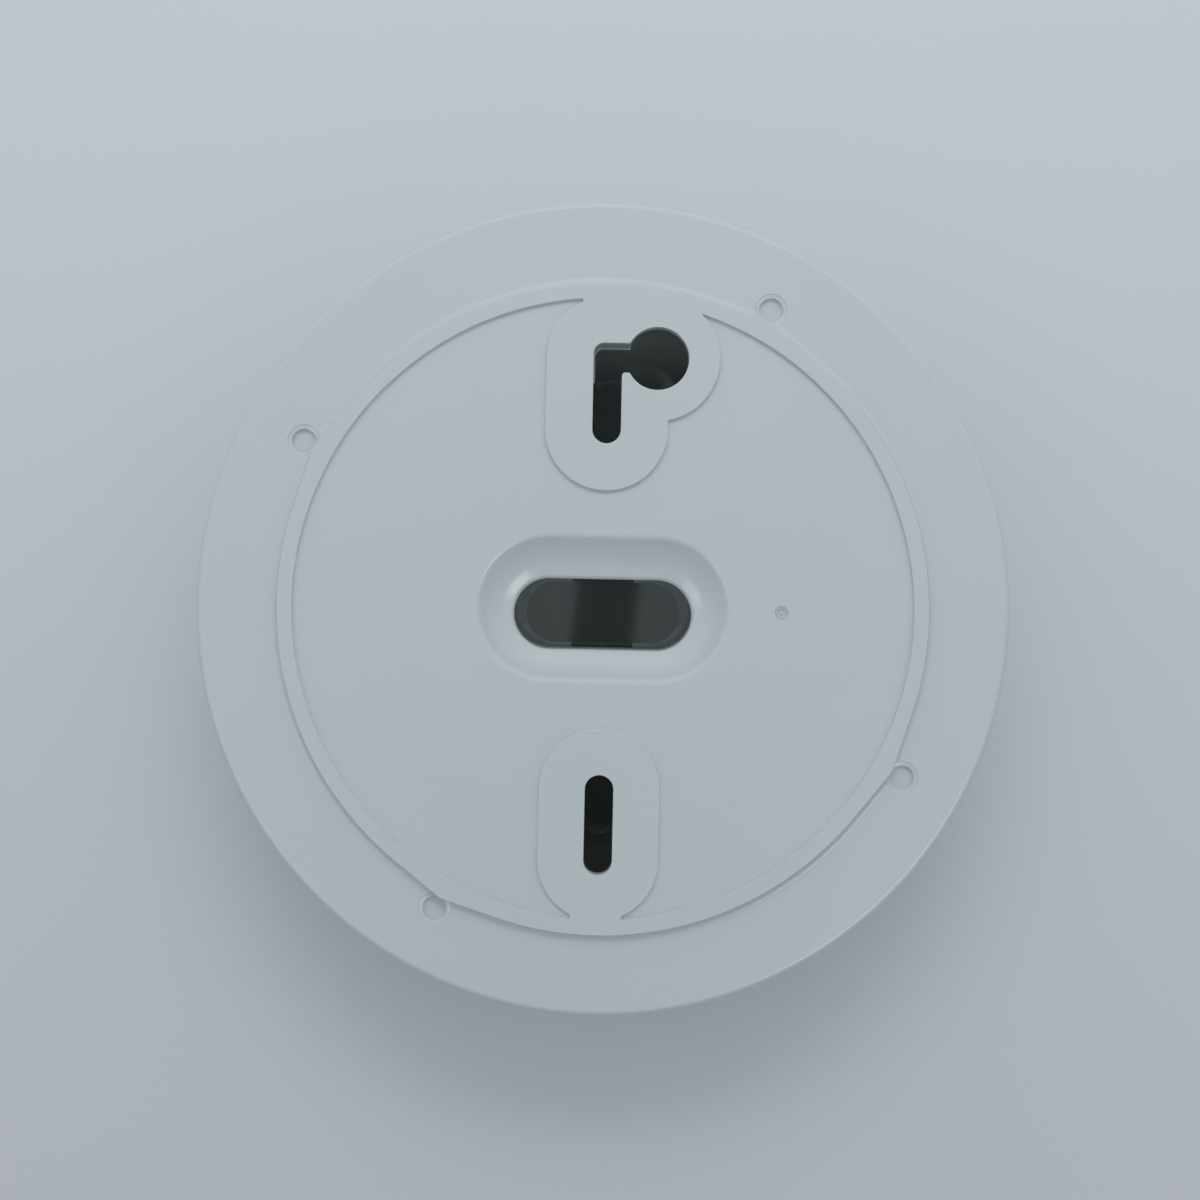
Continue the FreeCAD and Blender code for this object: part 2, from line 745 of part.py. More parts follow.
deep, wide = "pedestal_radial / 2", "pedestal_across / 2"
blocks = sketch(front, "pedestals", "XY_Plane", "pedestal_front")
tips = sketch(front, "blind_bosses", "XY_Plane", "floor_rear - floor_wall / 2")
bores = sketch(front, "tip_bores", "XY_Plane", "pedestal_front")
tails = sketch(front, "tail_holes", "XY_Plane", "pedestal_front")
for angle in TERMINALS:
    at_corners(blocks, angle, "-(%s)" % deep, deep, wide)
    x, y = at_terminal(angle, "0", "terminal_screw_y")
    circle(tips, x, y, "blind_boss_radius")
    circle(bores, x, y, "terminal_screw_radius + tip_clearance")
    at_corners(
        tails, angle,
        "-blade_width / 2 - tail_clearance", "-blade_width / 2 + blade_thickness + tail_clearance",
        "tail_width / 2 + tail_clearance",
    )
pad(front, blocks, "pedestal_height + floor_wall / 2")
pad(front, tips, "blind_boss_height + floor_wall / 2")
pocket(front, bores, "floor_rear + blind_boss_height - tip_cover - pedestal_front", up=True)
pocket(front, tails, "pedestal_height + floor_wall", up=True)

# Standoff posts for the circuit board
POSTS = ["post_angle", "180 - post_angle", "180 + post_angle", "360 - post_angle"]


def at_post(angle):
    return "post_circle * cos((%s) * 1deg)" % angle, "post_circle * sin((%s) * 1deg)" % angle


posts = sketch(front, "posts", "XY_Plane", "floor_rear - floor_wall / 2")
holes = sketch(front, "post_holes", "XY_Plane", "board_front")
for angle in POSTS:
    x, y = at_post(angle)
    circle(posts, x, y, "post_radius")
    circle(holes, x, y, "board_screw_radius + thread_clearance")
pad(front, posts, "board_standoff + floor_wall / 2")
pocket(front, holes, "board_standoff")

# Windows for the switch bank and the volume trimmer
switch_length = "switch_count * switch_pitch + 2 * switch_end"
window = sketch(front, "switch_window", "XY_Plane", "floor_rear")
rectangle(
    window, "switch_x", "0",
    "switch_width + 2 * window_clearance", switch_length + " + 2 * window_clearance",
)
pocket(front, window, "floor_wall")
window = sketch(front, "trimmer_window", "XY_Plane", "floor_rear")
circle(window, "trimmer_x", "trimmer_y", "trimmer_window")
pocket(front, window, "floor_wall")

# Sound outlets all round the side wall
outlet = sketch(front, "sound_outlet", "YZ_Plane", "front_radius - side_wall - 2")
rectangle(
    outlet, "0", "sound_slot_base + sound_slot_height / 2",
    "sound_slot_width", "sound_slot_height",
)
outlet_cut = pocket(front, outlet, "side_wall + 6", up=True)
around(front, [outlet_cut], "sound_slots", "sound_outlets")

# Casing screws, driven from the front rim into the rear bosses

for number in range(1, 5):
    screw = piece("casing_screw_%d" % number)
    line = sketch(screw, "casing_screw_profile_%d" % number, "XZ_Plane")
    polygon(line, [
        ("0", "screw_seat + screw_length"),
        ("screw_radius * 0.4", "screw_seat + screw_length"),
        ("screw_radius", "screw_seat + screw_length - screw_radius"),
        ("screw_radius", "screw_seat"),
        ("screw_head_radius", "screw_seat"),
        ("screw_head_radius", "screw_seat - screw_head_height * 0.55"),
        ("screw_head_radius * 0.62", "screw_seat - screw_head_height"),
        ("0", "screw_seat - screw_head_height"),
    ])
    revolve(screw, line)
    groove = sketch(screw, "casing_screw_cross_%d" % number, "XY_Plane", "screw_seat - screw_head_height")
    arm, half_arm = "screw_head_radius * 0.5", "0.3"
    polygon(groove, [
        ("-(%s)" % arm, "-" + half_arm), ("-" + half_arm, "-" + half_arm),
        ("-" + half_arm, "-(%s)" % arm), (half_arm, "-(%s)" % arm),
        (half_arm, "-" + half_arm), (arm, "-" + half_arm),
        (arm, half_arm), (half_arm, half_arm),
        (half_arm, arm), ("-" + half_arm, arm),
        ("-" + half_arm, half_arm), ("-(%s)" % arm, half_arm),
    ])
    pocket(screw, groove, "screw_head_height * 0.6", up=True)
    turn = "(screw_angle + %d) * 1deg" % (90 * (number - 1))
    place(screw, "screw_circle * cos(%s)" % turn, "screw_circle * sin(%s)" % turn)

# Circuit board, a disc with notches around the three wells

board = piece("circuit_board")
disc = sketch(board, "board_outline", "XY_Plane", "board_front")
circle(disc, "0", "0", "board_radius")
pad(board, disc, "board_wall")
for outline in keyhole_outline(board, "board_keyhole", "board_rear", "board_clearance"):
    pocket(board, outline, "board_wall")
pocket(board, slot_outline(board, "board_slot", "board_rear", "board_clearance"), "board_wall")
pocket(board, cable_outline(board, "board_cable", "board_rear", "well_wall + board_clearance"), "board_wall")
holes = sketch(board, "board_screw_holes", "XY_Plane", "board_rear")
for angle in POSTS:
    x, y = at_post(angle)
    circle(holes, x, y, "board_screw_radius + head_clearance")
pocket(board, holes, "board_wall")
tails = sketch(board, "board_tail_holes", "XY_Plane", "board_rear")
for angle in TERMINALS:
    at_corners(
        tails, angle,
        "-blade_width / 2 - tail_clearance", "-blade_width / 2 + blade_thickness + tail_clearance",
        "tail_width / 2 + tail_clearance",
    )
pocket(board, tails, "board_wall")

# Board screws, from the rear into the posts

for number, angle in enumerate(POSTS, start=1):
    screw = piece("board_screw_%d" % number)
    line = sketch(screw, "board_screw_profile_%d" % number, "XZ_Plane")
    polygon(line, [
        ("0", "board_rear - board_screw_length"),
        ("board_screw_radius", "board_rear - board_screw_length"),
        ("board_screw_radius", "board_rear"),
        ("board_screw_head", "board_rear"),
        ("board_screw_head", "board_rear + board_screw_head_height * 0.6"),
        ("board_screw_head * 0.6", "board_rear + board_screw_head_height"),
        ("0", "board_rear + board_screw_head_height"),
    ])
    revolve(screw, line)
    x, y = at_post(angle)
    place(screw, x, y)

# Sounder: chamber on the board with a side port, disc with its ceramic, and a lid

chamber = piece("sounder_chamber")
line = sketch(chamber, "chamber_profile", "XZ_Plane")
wall_in = "sounder_radius - sounder_wall"
polygon(line, [
    ("0", "0"),
    ("sounder_radius", "0"),
    ("sounder_radius", "sounder_height"),
    (wall_in, "sounder_height"),
    (wall_in, "ledge_height"),
    (wall_in + " - ledge_reach", "ledge_height"),
    (wall_in + " - ledge_reach", "sounder_floor"),
    ("0", "sounder_floor"),
])
revolve(chamber, line)
port = sketch(chamber, "chamber_port", "YZ_Plane", "sounder_radius * 0.6")
rectangle(port, "0", "port_base + port_height / 2", "port_width", "port_height")
pocket(chamber, port, "sounder_radius", up=True)
place(chamber, "sounder_x", "0", "board_rear")

disc_body = piece("piezo_disc")
line = sketch(disc_body, "disc_outline", "XY_Plane", "ledge_height")
circle(line, "0", "0", "disc_radius")
pad(disc_body, line, "disc_thickness")
place(disc_body, "sounder_x", "0", "board_rear")

ceramic = piece("piezo_ceramic")
line = sketch(ceramic, "ceramic_outline", "XY_Plane", "ledge_height + disc_thickness")
circle(line, "0", "0", "ceramic_radius")
pad(ceramic, line, "ceramic_thickness")
place(ceramic, "sounder_x", "0", "board_rear")

lid = piece("sounder_lid")
line = sketch(lid, "lid_profile", "XZ_Plane")
polygon(line, [
    ("0", "sounder_height"),
    (wall_in + " - disc_clearance - lid_skirt", "sounder_height"),
    (wall_in + " - disc_clearance - lid_skirt", "ledge_height + disc_thickness"),
    (wall_in + " - disc_clearance", "ledge_height + disc_thickness"),
    (wall_in + " - disc_clearance", "sounder_height"),
    ("sounder_radius", "sounder_height"),
    ("sounder_radius", "sounder_height + lid_thickness"),
    ("0", "sounder_height + lid_thickness"),
])
revolve(lid, line)
place(lid, "sounder_x", "0", "board_rear")

# Parts soldered to the board's rear side

for name, stem in (("capacitor_large", "capacitor_one"), ("capacitor_small", "capacitor_two")):
    can = piece(name)
    line = sketch(can, name + "_profile", "XZ_Plane")
    radius, tall = stem + "_radius", stem + "_height"
    polygon(line, [
        ("0", "0"),
        (radius, "0"),
        (radius, "1.2"),
        (radius + " - 0.3", "1.5"),
        (radius, "1.8"),
        (radius, tall + " - capacitor_edge"),
        (radius + " - capacitor_edge", tall),
        ("0", tall),
    ])
    revolve(can, line)
    place(can, stem + "_x", stem + "_y", "board_rear")

drum = piece("inductor")
line = sketch(drum, "inductor_profile", "XZ_Plane")
polygon(line, [
    ("0", "0"),
    ("inductor_radius", "0"),
    ("inductor_radius", "inductor_flange"),
    ("inductor_radius - inductor_waist * 0.3", "inductor_flange"),
    ("inductor_radius - inductor_waist * 0.3", "inductor_height - inductor_flange"),
    ("inductor_radius", "inductor_height - inductor_flange"),
    ("inductor_radius", "inductor_height"),
    ("0", "inductor_height"),
])
revolve(drum, line)
place(drum, "inductor_x", "inductor_y", "board_rear")

for name, stem in (("control_chip", "chip"), ("driver_chip", "driver")):
    chip = piece(name)
    line = sketch(chip, name + "_outline", "XY_Plane")
    rectangle(line, "0", "0", stem + "_length", stem + "_width")
    pad(chip, line, stem + "_height")
    dress(
        chip, "Chamfer", "0.3",
        lambda edge, high=value(stem + "_height"): flat_edge(edge, high),
        name + "_edges",
    )
    place(chip, stem + "_x", stem + "_y", "board_rear")

# Terminals: contact blade, wire clamp and screw, the same four times

for number, angle in enumerate(TERMINALS, start=1):
    home_x, home_y = at_terminal(angle, "0", "0")
    blade = piece("contact_blade_%d" % number)
    line = sketch(blade, "blade_profile_%d" % number, "YZ_Plane")
    face = "pedestal_front"
    under = "pedestal_front - blade_thickness"
    tip_y = "-blade_left + tongue_length"
    crest = "pedestal_front - tongue_rise"
    polygon(line, [
        ("blade_right", face),
        ("blade_right", under),
        ("-blade_left + blade_thickness", under),
        ("-blade_left + blade_thickness", crest + " + blade_thickness"),
        (tip_y, crest + " + blade_thickness + tongue_slope"),
        (tip_y, crest + " + tongue_slope"),
        ("-blade_left", crest),
        ("-blade_left", face),
    ])
    pad(blade, line, "blade_width", midplane=True)
    left = value("-blade_left")
    levels = (value("pedestal_front"), value(crest))
    dress(
        blade, "Fillet", "bend_radius",
        lambda edge: edge.BoundBox.YLength < 1e-4
        and abs(edge.BoundBox.YMin - left) < 1e-3
        and any(flat_edge(edge, z) for z in levels),
        "blade_bends_%d" % number,
    )
    hole = sketch(blade, "blade_thread_%d" % number, "XY_Plane", "pedestal_front")
    circle(hole, "0", "terminal_screw_y", "terminal_screw_radius + thread_fit")
    pocket(blade, hole, "blade_thickness")
    tail = sketch(blade, "blade_tail_%d" % number, "XY_Plane", "pedestal_front - blade_thickness / 2")
    rectangle(
        tail, "-blade_width / 2 + blade_thickness / 2", "0",
        "blade_thickness", "tail_width",
    )
    pad(blade, tail, "board_rear + tail_reach - pedestal_front + blade_thickness / 2")
    place(blade, home_x, home_y, "0", angle)

    clamp = piece("wire_clamp_%d" % number)
    line = sketch(clamp, "clamp_profile_%d" % number, "XZ_Plane", "-terminal_screw_y")
    side = "blade_width / 2 + clamp_side_clearance"
    polygon(line, [
        ("-(%s) - clamp_lip_wall" % side, "clamp_rear - clamp_thickness"),
        (side + " + clamp_lip_wall", "clamp_rear - clamp_thickness"),
        (side + " + clamp_lip_wall", "clamp_rear + clamp_lip"),
        (side, "clamp_rear + clamp_lip"),
        (side, "clamp_rear"),
        ("-(%s)" % side, "clamp_rear"),
        ("-(%s)" % side, "clamp_rear + clamp_lip"),
        ("-(%s) - clamp_lip_wall" % side, "clamp_rear + clamp_lip"),
    ])
    pad(clamp, line, "clamp_plate", midplane=True)
    hole = sketch(clamp, "clamp_hole_%d" % number, "XY_Plane", "clamp_rear")
    circle(hole, "0", "terminal_screw_y", "terminal_screw_radius + head_clearance")
    pocket(clamp, hole, "clamp_thickness")
    place(clamp, home_x, home_y, "0", angle)

    screw = piece("terminal_screw_%d" % number)
    line = sketch(screw, "terminal_screw_profile_%d" % number, "XZ_Plane")
    seat = "clamp_rear - clamp_thickness"
    polygon(line, [
        ("0", seat + " + terminal_screw_length"),
        ("terminal_screw_radius * 0.75", seat + " + terminal_screw_length"),
        ("terminal_screw_radius", seat + " + terminal_screw_length - 0.5"),
        ("terminal_screw_radius", seat),
        ("terminal_head_radius", seat),
        ("terminal_head_radius", seat + " - terminal_head_height * 0.7"),
        ("terminal_head_radius * 0.75", seat + " - terminal_head_height"),
        ("0", seat + " - terminal_head_height"),
    ])
    revolve(screw, line)
    groove = sketch(screw, "driver_slot_%d" % number, "XY_Plane", seat + " - terminal_head_height")
    rectangle(groove, "0", "0", "3 * terminal_head_radius", "driver_slot_width")
    pocket(screw, groove, "driver_slot_depth", up=True)
    screw_x, screw_y = at_terminal(angle, "0", "terminal_screw_y")
    place(screw, screw_x, screw_y, "0", "(%s) + 20" % angle)

# Switch bank with its levers, reached through a window in the seat floor

bank = piece("switch_bank")
line = sketch(bank, "bank_outline", "XY_Plane", "switch_front")
rectangle(line, "0", "0", "switch_width", switch_length)
pad(bank, line, "switch_height")
for number in range(1, int(value("switch_count")) + 1):
    row_y = "(%d - (switch_count + 1) / 2) * switch_pitch" % number
    slot = sketch(bank, "lever_slot_%d" % number, "XY_Plane", "switch_front")
    rectangle(
        slot, "0", row_y,
        "lever_length + lever_travel + 2 * lever_clearance", "lever_width + 2 * lever_clearance",
    )
    pocket(bank, slot, "lever_depth + lever_clearance", up=True)
    lever = piece("switch_lever_%d" % number)
    line = sketch(lever, "lever_outline_%d" % number, "XY_Plane", "switch_front - lever_stand")
    rectangle(line, "-lever_travel / 2", row_y, "lever_length", "lever_width")
    pad(lever, line, "lever_stand + lever_depth")
    dress(
        lever, "Chamfer", "0.2",
        lambda edge: flat_edge(edge, value("switch_front - lever_stand")),
        "lever_edges_%d" % number,
    )
    place(lever, "switch_x", "0")
place(bank, "switch_x", "0")

# Volume trimmer: square body with a slotted rotor

trimmer = piece("volume_trimmer")
line = sketch(trimmer, "trimmer_outline", "XY_Plane", "trimmer_front")
rectangle(line, "0", "0", "trimmer_size", "trimmer_size")
pad(trimmer, line, "trimmer_height")
socket = sketch(trimmer, "rotor_socket", "XY_Plane", "trimmer_front")
circle(socket, "0", "0", "rotor_radius + rotor_clearance")
pocket(trimmer, socket, "rotor_height", up=True)
place(trimmer, "trimmer_x", "trimmer_y")
rotor = piece("trimmer_rotor")
line = sketch(rotor, "rotor_outline", "XY_Plane", "trimmer_front - rotor_stand")
circle(line, "0", "0", "rotor_radius")
pad(rotor, line, "rotor_stand + rotor_height")
groove = sketch(rotor, "rotor_slot", "XY_Plane", "trimmer_front - rotor_stand")
rectangle(groove, "0", "0", "1.7 * rotor_radius", "0.6")
pocket(rotor, groove, "0.7", up=True)
place(rotor, "trimmer_x", "trimmer_y")

# Every object is checked, then each piece is written to its own file

doc.recompute()
for item in doc.Objects:
    if "Invalid" in item.State or "Error" in item.State:
        raise ValueError("failed object: " + item.Label)
bodies = [item for item in doc.Objects if item.TypeId == "PartDesign::Body"]
for body in bodies:
    shape = body.Shape
    if shape.isNull() or not shape.isValid() or len(shape.Solids) != 1:
        raise ValueError("bad shape: %s (%d solids)" % (body.Label, len(shape.Solids)))
    shape.exportStep("parts/%s.step" % body.Label)
    box = shape.BoundBox
    print("%-20s volume %10.2f  z %6.2f to %6.2f" % (body.Label, shape.Volume, box.ZMin, box.ZMax))
print(len(bodies), "pieces")
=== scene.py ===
import math

import bmesh
import bpy
from mathutils import Matrix, Vector


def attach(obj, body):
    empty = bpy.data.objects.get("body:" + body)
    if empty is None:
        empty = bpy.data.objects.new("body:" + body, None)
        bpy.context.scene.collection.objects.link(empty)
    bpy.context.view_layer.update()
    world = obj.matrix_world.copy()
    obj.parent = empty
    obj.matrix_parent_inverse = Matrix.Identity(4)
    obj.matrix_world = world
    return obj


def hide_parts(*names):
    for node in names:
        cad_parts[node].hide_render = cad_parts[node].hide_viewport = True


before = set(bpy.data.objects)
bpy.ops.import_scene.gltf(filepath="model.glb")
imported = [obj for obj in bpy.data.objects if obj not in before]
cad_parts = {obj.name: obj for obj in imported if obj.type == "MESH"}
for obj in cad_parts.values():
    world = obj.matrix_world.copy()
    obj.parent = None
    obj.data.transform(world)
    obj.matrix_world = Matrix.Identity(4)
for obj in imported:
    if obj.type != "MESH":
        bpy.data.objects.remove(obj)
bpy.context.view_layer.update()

scene = bpy.context.scene

# Rear casing: the back of the housing, injection moulded in white ABS in one shot.
# A flat plate with a raised ring and two raised pads that bear on the ceiling, pierced by the
# keyhole, the straight slot and the dished cable entry, with a well behind each opening.


def solid(points, run=0.0, centre=(0.0, 0.0), upright=False, steps=48, name="tool"):
    # A closed body with the outline of a circle, or of an obround with straight sides of twice
    # "run". Each point is a distance out from the middle line and a height, in millimetres.
    shape = bmesh.new()
    line = [shape.verts.new((run, -out, high)) for out, high in points]
    edges = [shape.edges.new(pair) for pair in zip(line, line[1:])]
    geom = line + edges
    if run == 0:
        bmesh.ops.spin(shape, geom=geom, cent=(0, 0, 0), axis=(0, 0, 1), angle=2 * math.pi,
                       steps=2 * steps, use_merge=True, use_duplicate=False)
    else:
        for side in (1, -1):
            swung = bmesh.ops.spin(shape, geom=geom, cent=(side * run, 0, 0), axis=(0, 0, 1),
                                   angle=math.pi, steps=steps, use_merge=False,
                                   use_duplicate=False)["geom_last"]
            rim = [item for item in swung if isinstance(item, bmesh.types.BMEdge)]
            drawn = bmesh.ops.extrude_edge_only(shape, edges=rim)["geom"]
            moved = [item for item in drawn if isinstance(item, bmesh.types.BMVert)]
            bmesh.ops.translate(shape, verts=moved, vec=(-2 * side * run, 0, 0))
            kept = set(moved)
            geom = moved + [item for item in drawn if isinstance(item, bmesh.types.BMEdge)
                            and set(item.verts) <= kept]
    bmesh.ops.remove_doubles(shape, verts=shape.verts, dist=0.0008)
    bmesh.ops.holes_fill(shape, edges=[edge for edge in shape.edges if edge.is_boundary], sides=0)
    bmesh.ops.recalc_face_normals(shape, faces=shape.faces)
    if upright:
        bmesh.ops.rotate(shape, verts=shape.verts, cent=(0, 0, 0),
                         matrix=Matrix.Rotation(math.pi / 2, 3, "Z"))
    bmesh.ops.translate(shape, verts=shape.verts, vec=(centre[0], centre[1], 0))
    return as_object(shape, name)


def as_object(shape, name):
    # an object of its own for a shape that is done
    mesh = bpy.data.meshes.new(name)
    shape.to_mesh(mesh)
    shape.free()
    made = bpy.data.objects.new(name, mesh)
    scene.collection.objects.link(made)
    return made


def outward(made):
    # turns every face of a closed body outwards
    shape = bmesh.new()
    shape.from_mesh(made.data)
    bmesh.ops.recalc_face_normals(shape, faces=shape.faces)
    shape.to_mesh(made.data)
    shape.free()
    made.data.update()
    made.update_tag()


def carve(body, *tools, how="DIFFERENCE"):
    # each tool is cut from the body, or joined to it, and then thrown away
    for tool in tools:
        outward(tool)
        outward(body)
        change = body.modifiers.new("carve", "BOOLEAN")
        change.operation = how
        change.solver = "EXACT"
        change.object = tool
        shaped = bpy.data.meshes.new_from_object(
            body.evaluated_get(bpy.context.evaluated_depsgraph_get()))
        body.modifiers.clear()
        body.data = shaped
        bpy.data.objects.remove(tool)
    return body


def around(tool, angles, name="tools"):
    # copies of a tool turned about the middle of the unit, as one body
    shape = bmesh.new()
    for angle in angles:
        copy = bmesh.new()
        copy.from_mesh(tool.data)
        turn = Matrix.Rotation(math.radians(angle), 4, "Z")
        bmesh.ops.transform(copy, matrix=turn, verts=copy.verts)
        placed = bpy.data.meshes.new(name)
        copy.to_mesh(placed)
        copy.free()
        shape.from_mesh(placed)
    bpy.data.objects.remove(tool)
    return as_object(shape, name)


def block(low, high, name="tool"):
    # a box between two corners, in millimetres
    shape = bmesh.new()
    bmesh.ops.create_cube(shape, size=1.0)
    size = Vector(high) - Vector(low)
    bmesh.ops.scale(shape, vec=size, verts=shape.verts)
    bmesh.ops.translate(shape, vec=(Vector(low) + Vector(high)) / 2, verts=shape.verts)
    return as_object(shape, name)


def column(outline, levels, name="tool"):
    # a body with one outline, taken counter-clockwise, widened by its own reach at each height
    shape = bmesh.new()
    count = len(outline)
    rings = []
    for high, reach in levels:
        ring = []
        for index in range(count):
            before, at, after = (Vector(outline[(index + step) % count]) for step in (-1, 0, 1))
            one, two = (at - before).normalized(), (after - at).normalized()
            one, two = Vector((one.y, -one.x)), Vector((two.y, -two.x))
            moved = at + (one + two) * reach / max(0.5, 1 + one.dot(two))
            ring.append(shape.verts.new((moved.x, moved.y, high)))
        rings.append(ring)
    for low, high in zip(rings, rings[1:]):
        for index in range(count):
            after = (index + 1) % count
            shape.faces.new((low[index], low[after], high[after], high[index]))
    shape.faces.new(rings[0][::-1])
    shape.faces.new(rings[-1])
    return as_object(shape, name)


def rounded(shape, edges, width, segments):
    # the one way in which edges are rounded here
    bmesh.ops.bevel(shape, geom=edges, offset=width, offset_type="OFFSET", affect="EDGES",
                    segments=segments, profile=0.5, material=-1, clamp_overlap=True)


def arc(middle, radius, start, end, count):
    # points of a rounding in a profile, angles in degrees from the outward direction
    turn = [math.radians(start + (end - start) * step / count) for step in range(count + 1)]
    return [(middle[0] + radius * math.cos(a), middle[1] + radius * math.sin(a)) for a in turn]


def rim(level, radius, way=-1):
    # heights of a rounded rim below a level, or above it, each with its reach
    return [(level + way * radius * (1 - math.sin(math.radians(turn))),
             radius * (1 - math.cos(math.radians(turn)))) for turn in (0, 30, 60, 90)]


def flare(cutter, level, radius, foot=False):
    # widens a straight-walled cutter towards a level, so that its cut has a rounded rim there,
    # or narrows it towards its own end, so that the cut has a rounded foot
    shape = bmesh.new()
    shape.from_mesh(cutter.data)
    steps = rim(level, radius, 1 if foot else -1)
    straight = steps[0][0]
    for high, reach in steps:
        bmesh.ops.bisect_plane(shape, geom=shape.verts[:] + shape.edges[:] + shape.faces[:],
                               dist=1e-4, plane_co=(0, 0, high), plane_no=(0, 0, 1))
    shape.normal_update()
    moves = {}
    for vert in shape.verts:
        if (vert.co.z > straight + 1e-3) if foot else (vert.co.z < straight - 1e-3):
            continue
        walls = [face.normal.xy.normalized() for face in vert.link_faces
                 if abs(face.normal.z) < 0.3]
        if not walls:
            continue
        first = walls[0]
        other = min(walls, key=lambda wall: wall.dot(first))
        reach = min(steps, key=lambda step: abs(step[0] - vert.co.z))[1]
        if not foot and vert.co.z > level:
            reach = radius
        reach *= (-1 if foot else 1) / max(0.35, 1 + first.dot(other))
        moves[vert] = (first + other) * reach
    for vert, move in moves.items():
        vert.co.x += move.x
        vert.co.y += move.y
    shape.to_mesh(cutter.data)
    shape.free()
    return cutter


# sizes in millimetres: heights from the front rim, radii from the middle of the unit
HEIGHT = 28.0
PLATE = 27.4
PLATE_UNDER = 25.4
FLANGE = 26.8
FLANGE_UNDER = 24.8
FLANGE_RADIUS = 57.5
RING_IN, RING_OUT, RING_CORNER = 43.75, 45.9, 46.65
SPIGOT_IN, SPIGOT_OUT = 53.3, 54.9
FLOOR_REAR = 9.3
SCREW_CIRCLE, SCREW_ANGLE = 48.4, 61.8
SCREWS = [SCREW_ANGLE + 90 * number for number in range(4)]
SLOT_Y, SLOT_RUN, SLOT_HALF = 30.35, 5.0, 2.0
HEAD, HEAD_RADIUS = (7.0, 35.4), 4.4
KEY_PAD, HEAD_PAD, SLOT_PAD = 8.67, 8.8, 8.5
WALL = 1.5
FOOT = 1.0
EDGE = 0.13
ROUND = 160

foot = arc((RING_OUT + FOOT, FLANGE + FOOT), FOOT, 270, 180, 8)
crown = arc((RING_OUT - EDGE, HEIGHT - EDGE), EDGE, 0, 90, 3)
rear = solid(
    [(0.0, PLATE_UNDER), (RING_IN, PLATE_UNDER), (RING_OUT, FLANGE_UNDER),
     (SPIGOT_IN, FLANGE_UNDER), (SPIGOT_IN, 20.95), (53.45, 20.8), (54.75, 20.8),
     (SPIGOT_OUT, 20.95), (SPIGOT_OUT, FLANGE_UNDER), (FLANGE_RADIUS - 0.25, FLANGE_UNDER)]
    + arc((FLANGE_RADIUS - 0.25, FLANGE_UNDER + 0.25), 0.25, -60, 0, 2)
    + arc((FLANGE_RADIUS - 0.9, FLANGE - 0.9), 0.9, 0, 90, 7)
    + foot + crown + [(0.0, HEIGHT)],
    steps=ROUND, name="rear_casing_moulding")

# the ring's outer wall leaves its circle along straight tangents that meet in four corners
turn_to = Matrix.Rotation(math.radians(SCREW_ANGLE - 270), 4, "Z")
rear.data.transform(turn_to)
lean = math.acos(RING_OUT / RING_CORNER)
for vert in rear.data.vertices:
    out = math.hypot(vert.co.x, vert.co.y)
    if RING_OUT - 0.5 < out < RING_OUT + FOOT + 0.1 and vert.co.z > FLANGE - 0.01:
        swing = math.radians(SCREW_ANGLE) - math.atan2(vert.co.y, vert.co.x)
        swing = abs((swing + math.pi / 4) % (math.pi / 2) - math.pi / 4)
        if swing < lean:
            vert.co.x /= math.cos(lean - swing)
            vert.co.y /= math.cos(lean - swing)


def on_pads(profile):
    # one tool round the keyhole's slot, one round its head and one round the straight slot; the
    # profile follows from the radius of each pad
    return [solid(profile(pad), run=run, centre=centre, upright=run > 0)
            for pad, run, centre in ((KEY_PAD, SLOT_RUN, (0, SLOT_Y)), (HEAD_PAD, 0.0, HEAD),
                                     (SLOT_PAD, SLOT_RUN, (0, -SLOT_Y)))]


# the sunk field between the ring and the pads is one cut, from which the pads are left out
field = solid([(RING_IN, PLATE), (RING_IN, HEIGHT + 1)], steps=ROUND)
carve(field, *on_pads(lambda pad: [(pad, PLATE - 1), (pad, HEIGHT + 2)]),
      block((-3.7, 41.4, PLATE - 1), (13.2, 45, HEIGHT + 2)),
      block((-3.8, -45, PLATE - 1), (3.5, -42, HEIGHT + 2)))
flare(field, HEIGHT, EDGE)
flare(field, PLATE, EDGE, foot=True)
carve(rear, field)

# wells behind the openings, their walls drawn down to the detector seat
CABLE_RUN, THROAT, THROAT_BELOW, DISH = 7.6, 5.0, 5.75, 10.75
SUNK = PLATE_UNDER + 0.4
key_well, head_well, slot_well = on_pads(lambda pad: [(pad, FLOOR_REAR), (pad, SUNK)])
carve(key_well, head_well, how="UNION")
cable_well = solid([(THROAT + WALL, FLOOR_REAR), (THROAT + WALL, 21.0), (9.4, 24.0),
                    (9.4, SUNK)], run=CABLE_RUN)
carve(rear, key_well, slot_well, cable_well, how="UNION")
carve(rear, *on_pads(lambda pad: [(pad - WALL, 5), (pad - WALL, PLATE_UNDER - 0.6),
                                  (pad - WALL - 0.6, PLATE_UNDER)]))

# a stop rib carries the keyhole's upper left corner down inside its well
PASSAGE = 2.05
ARCH, LIP = HEAD[1] + PASSAGE, HEIGHT - 6.45
rib = block((-SLOT_HALF - 1.2, HEAD[1] - 3, HEIGHT - 6.7),
            (HEAD[0] - 3.74, ARCH + 1.2, PLATE_UNDER + 0.2))
carve(rib, block((-SLOT_HALF, HEAD[1] - 5, LIP), (HEAD[0], ARCH, HEIGHT)),
      column([(0.18 - SLOT_HALF, 28), (9, 28), (9, ARCH - 0.18)]
             + arc((1.4 - SLOT_HALF, ARCH - 1.4), 1.22, 90, 180, 10), [(18, 0), (LIP + 0.2, 0)]))
carve(rear, rib, how="UNION")

# keyhole: slot, passage and round head as one outline, with rounded inner corners and tips
LOWER_TIP, UPPER_TIP = 0.42, 0.35


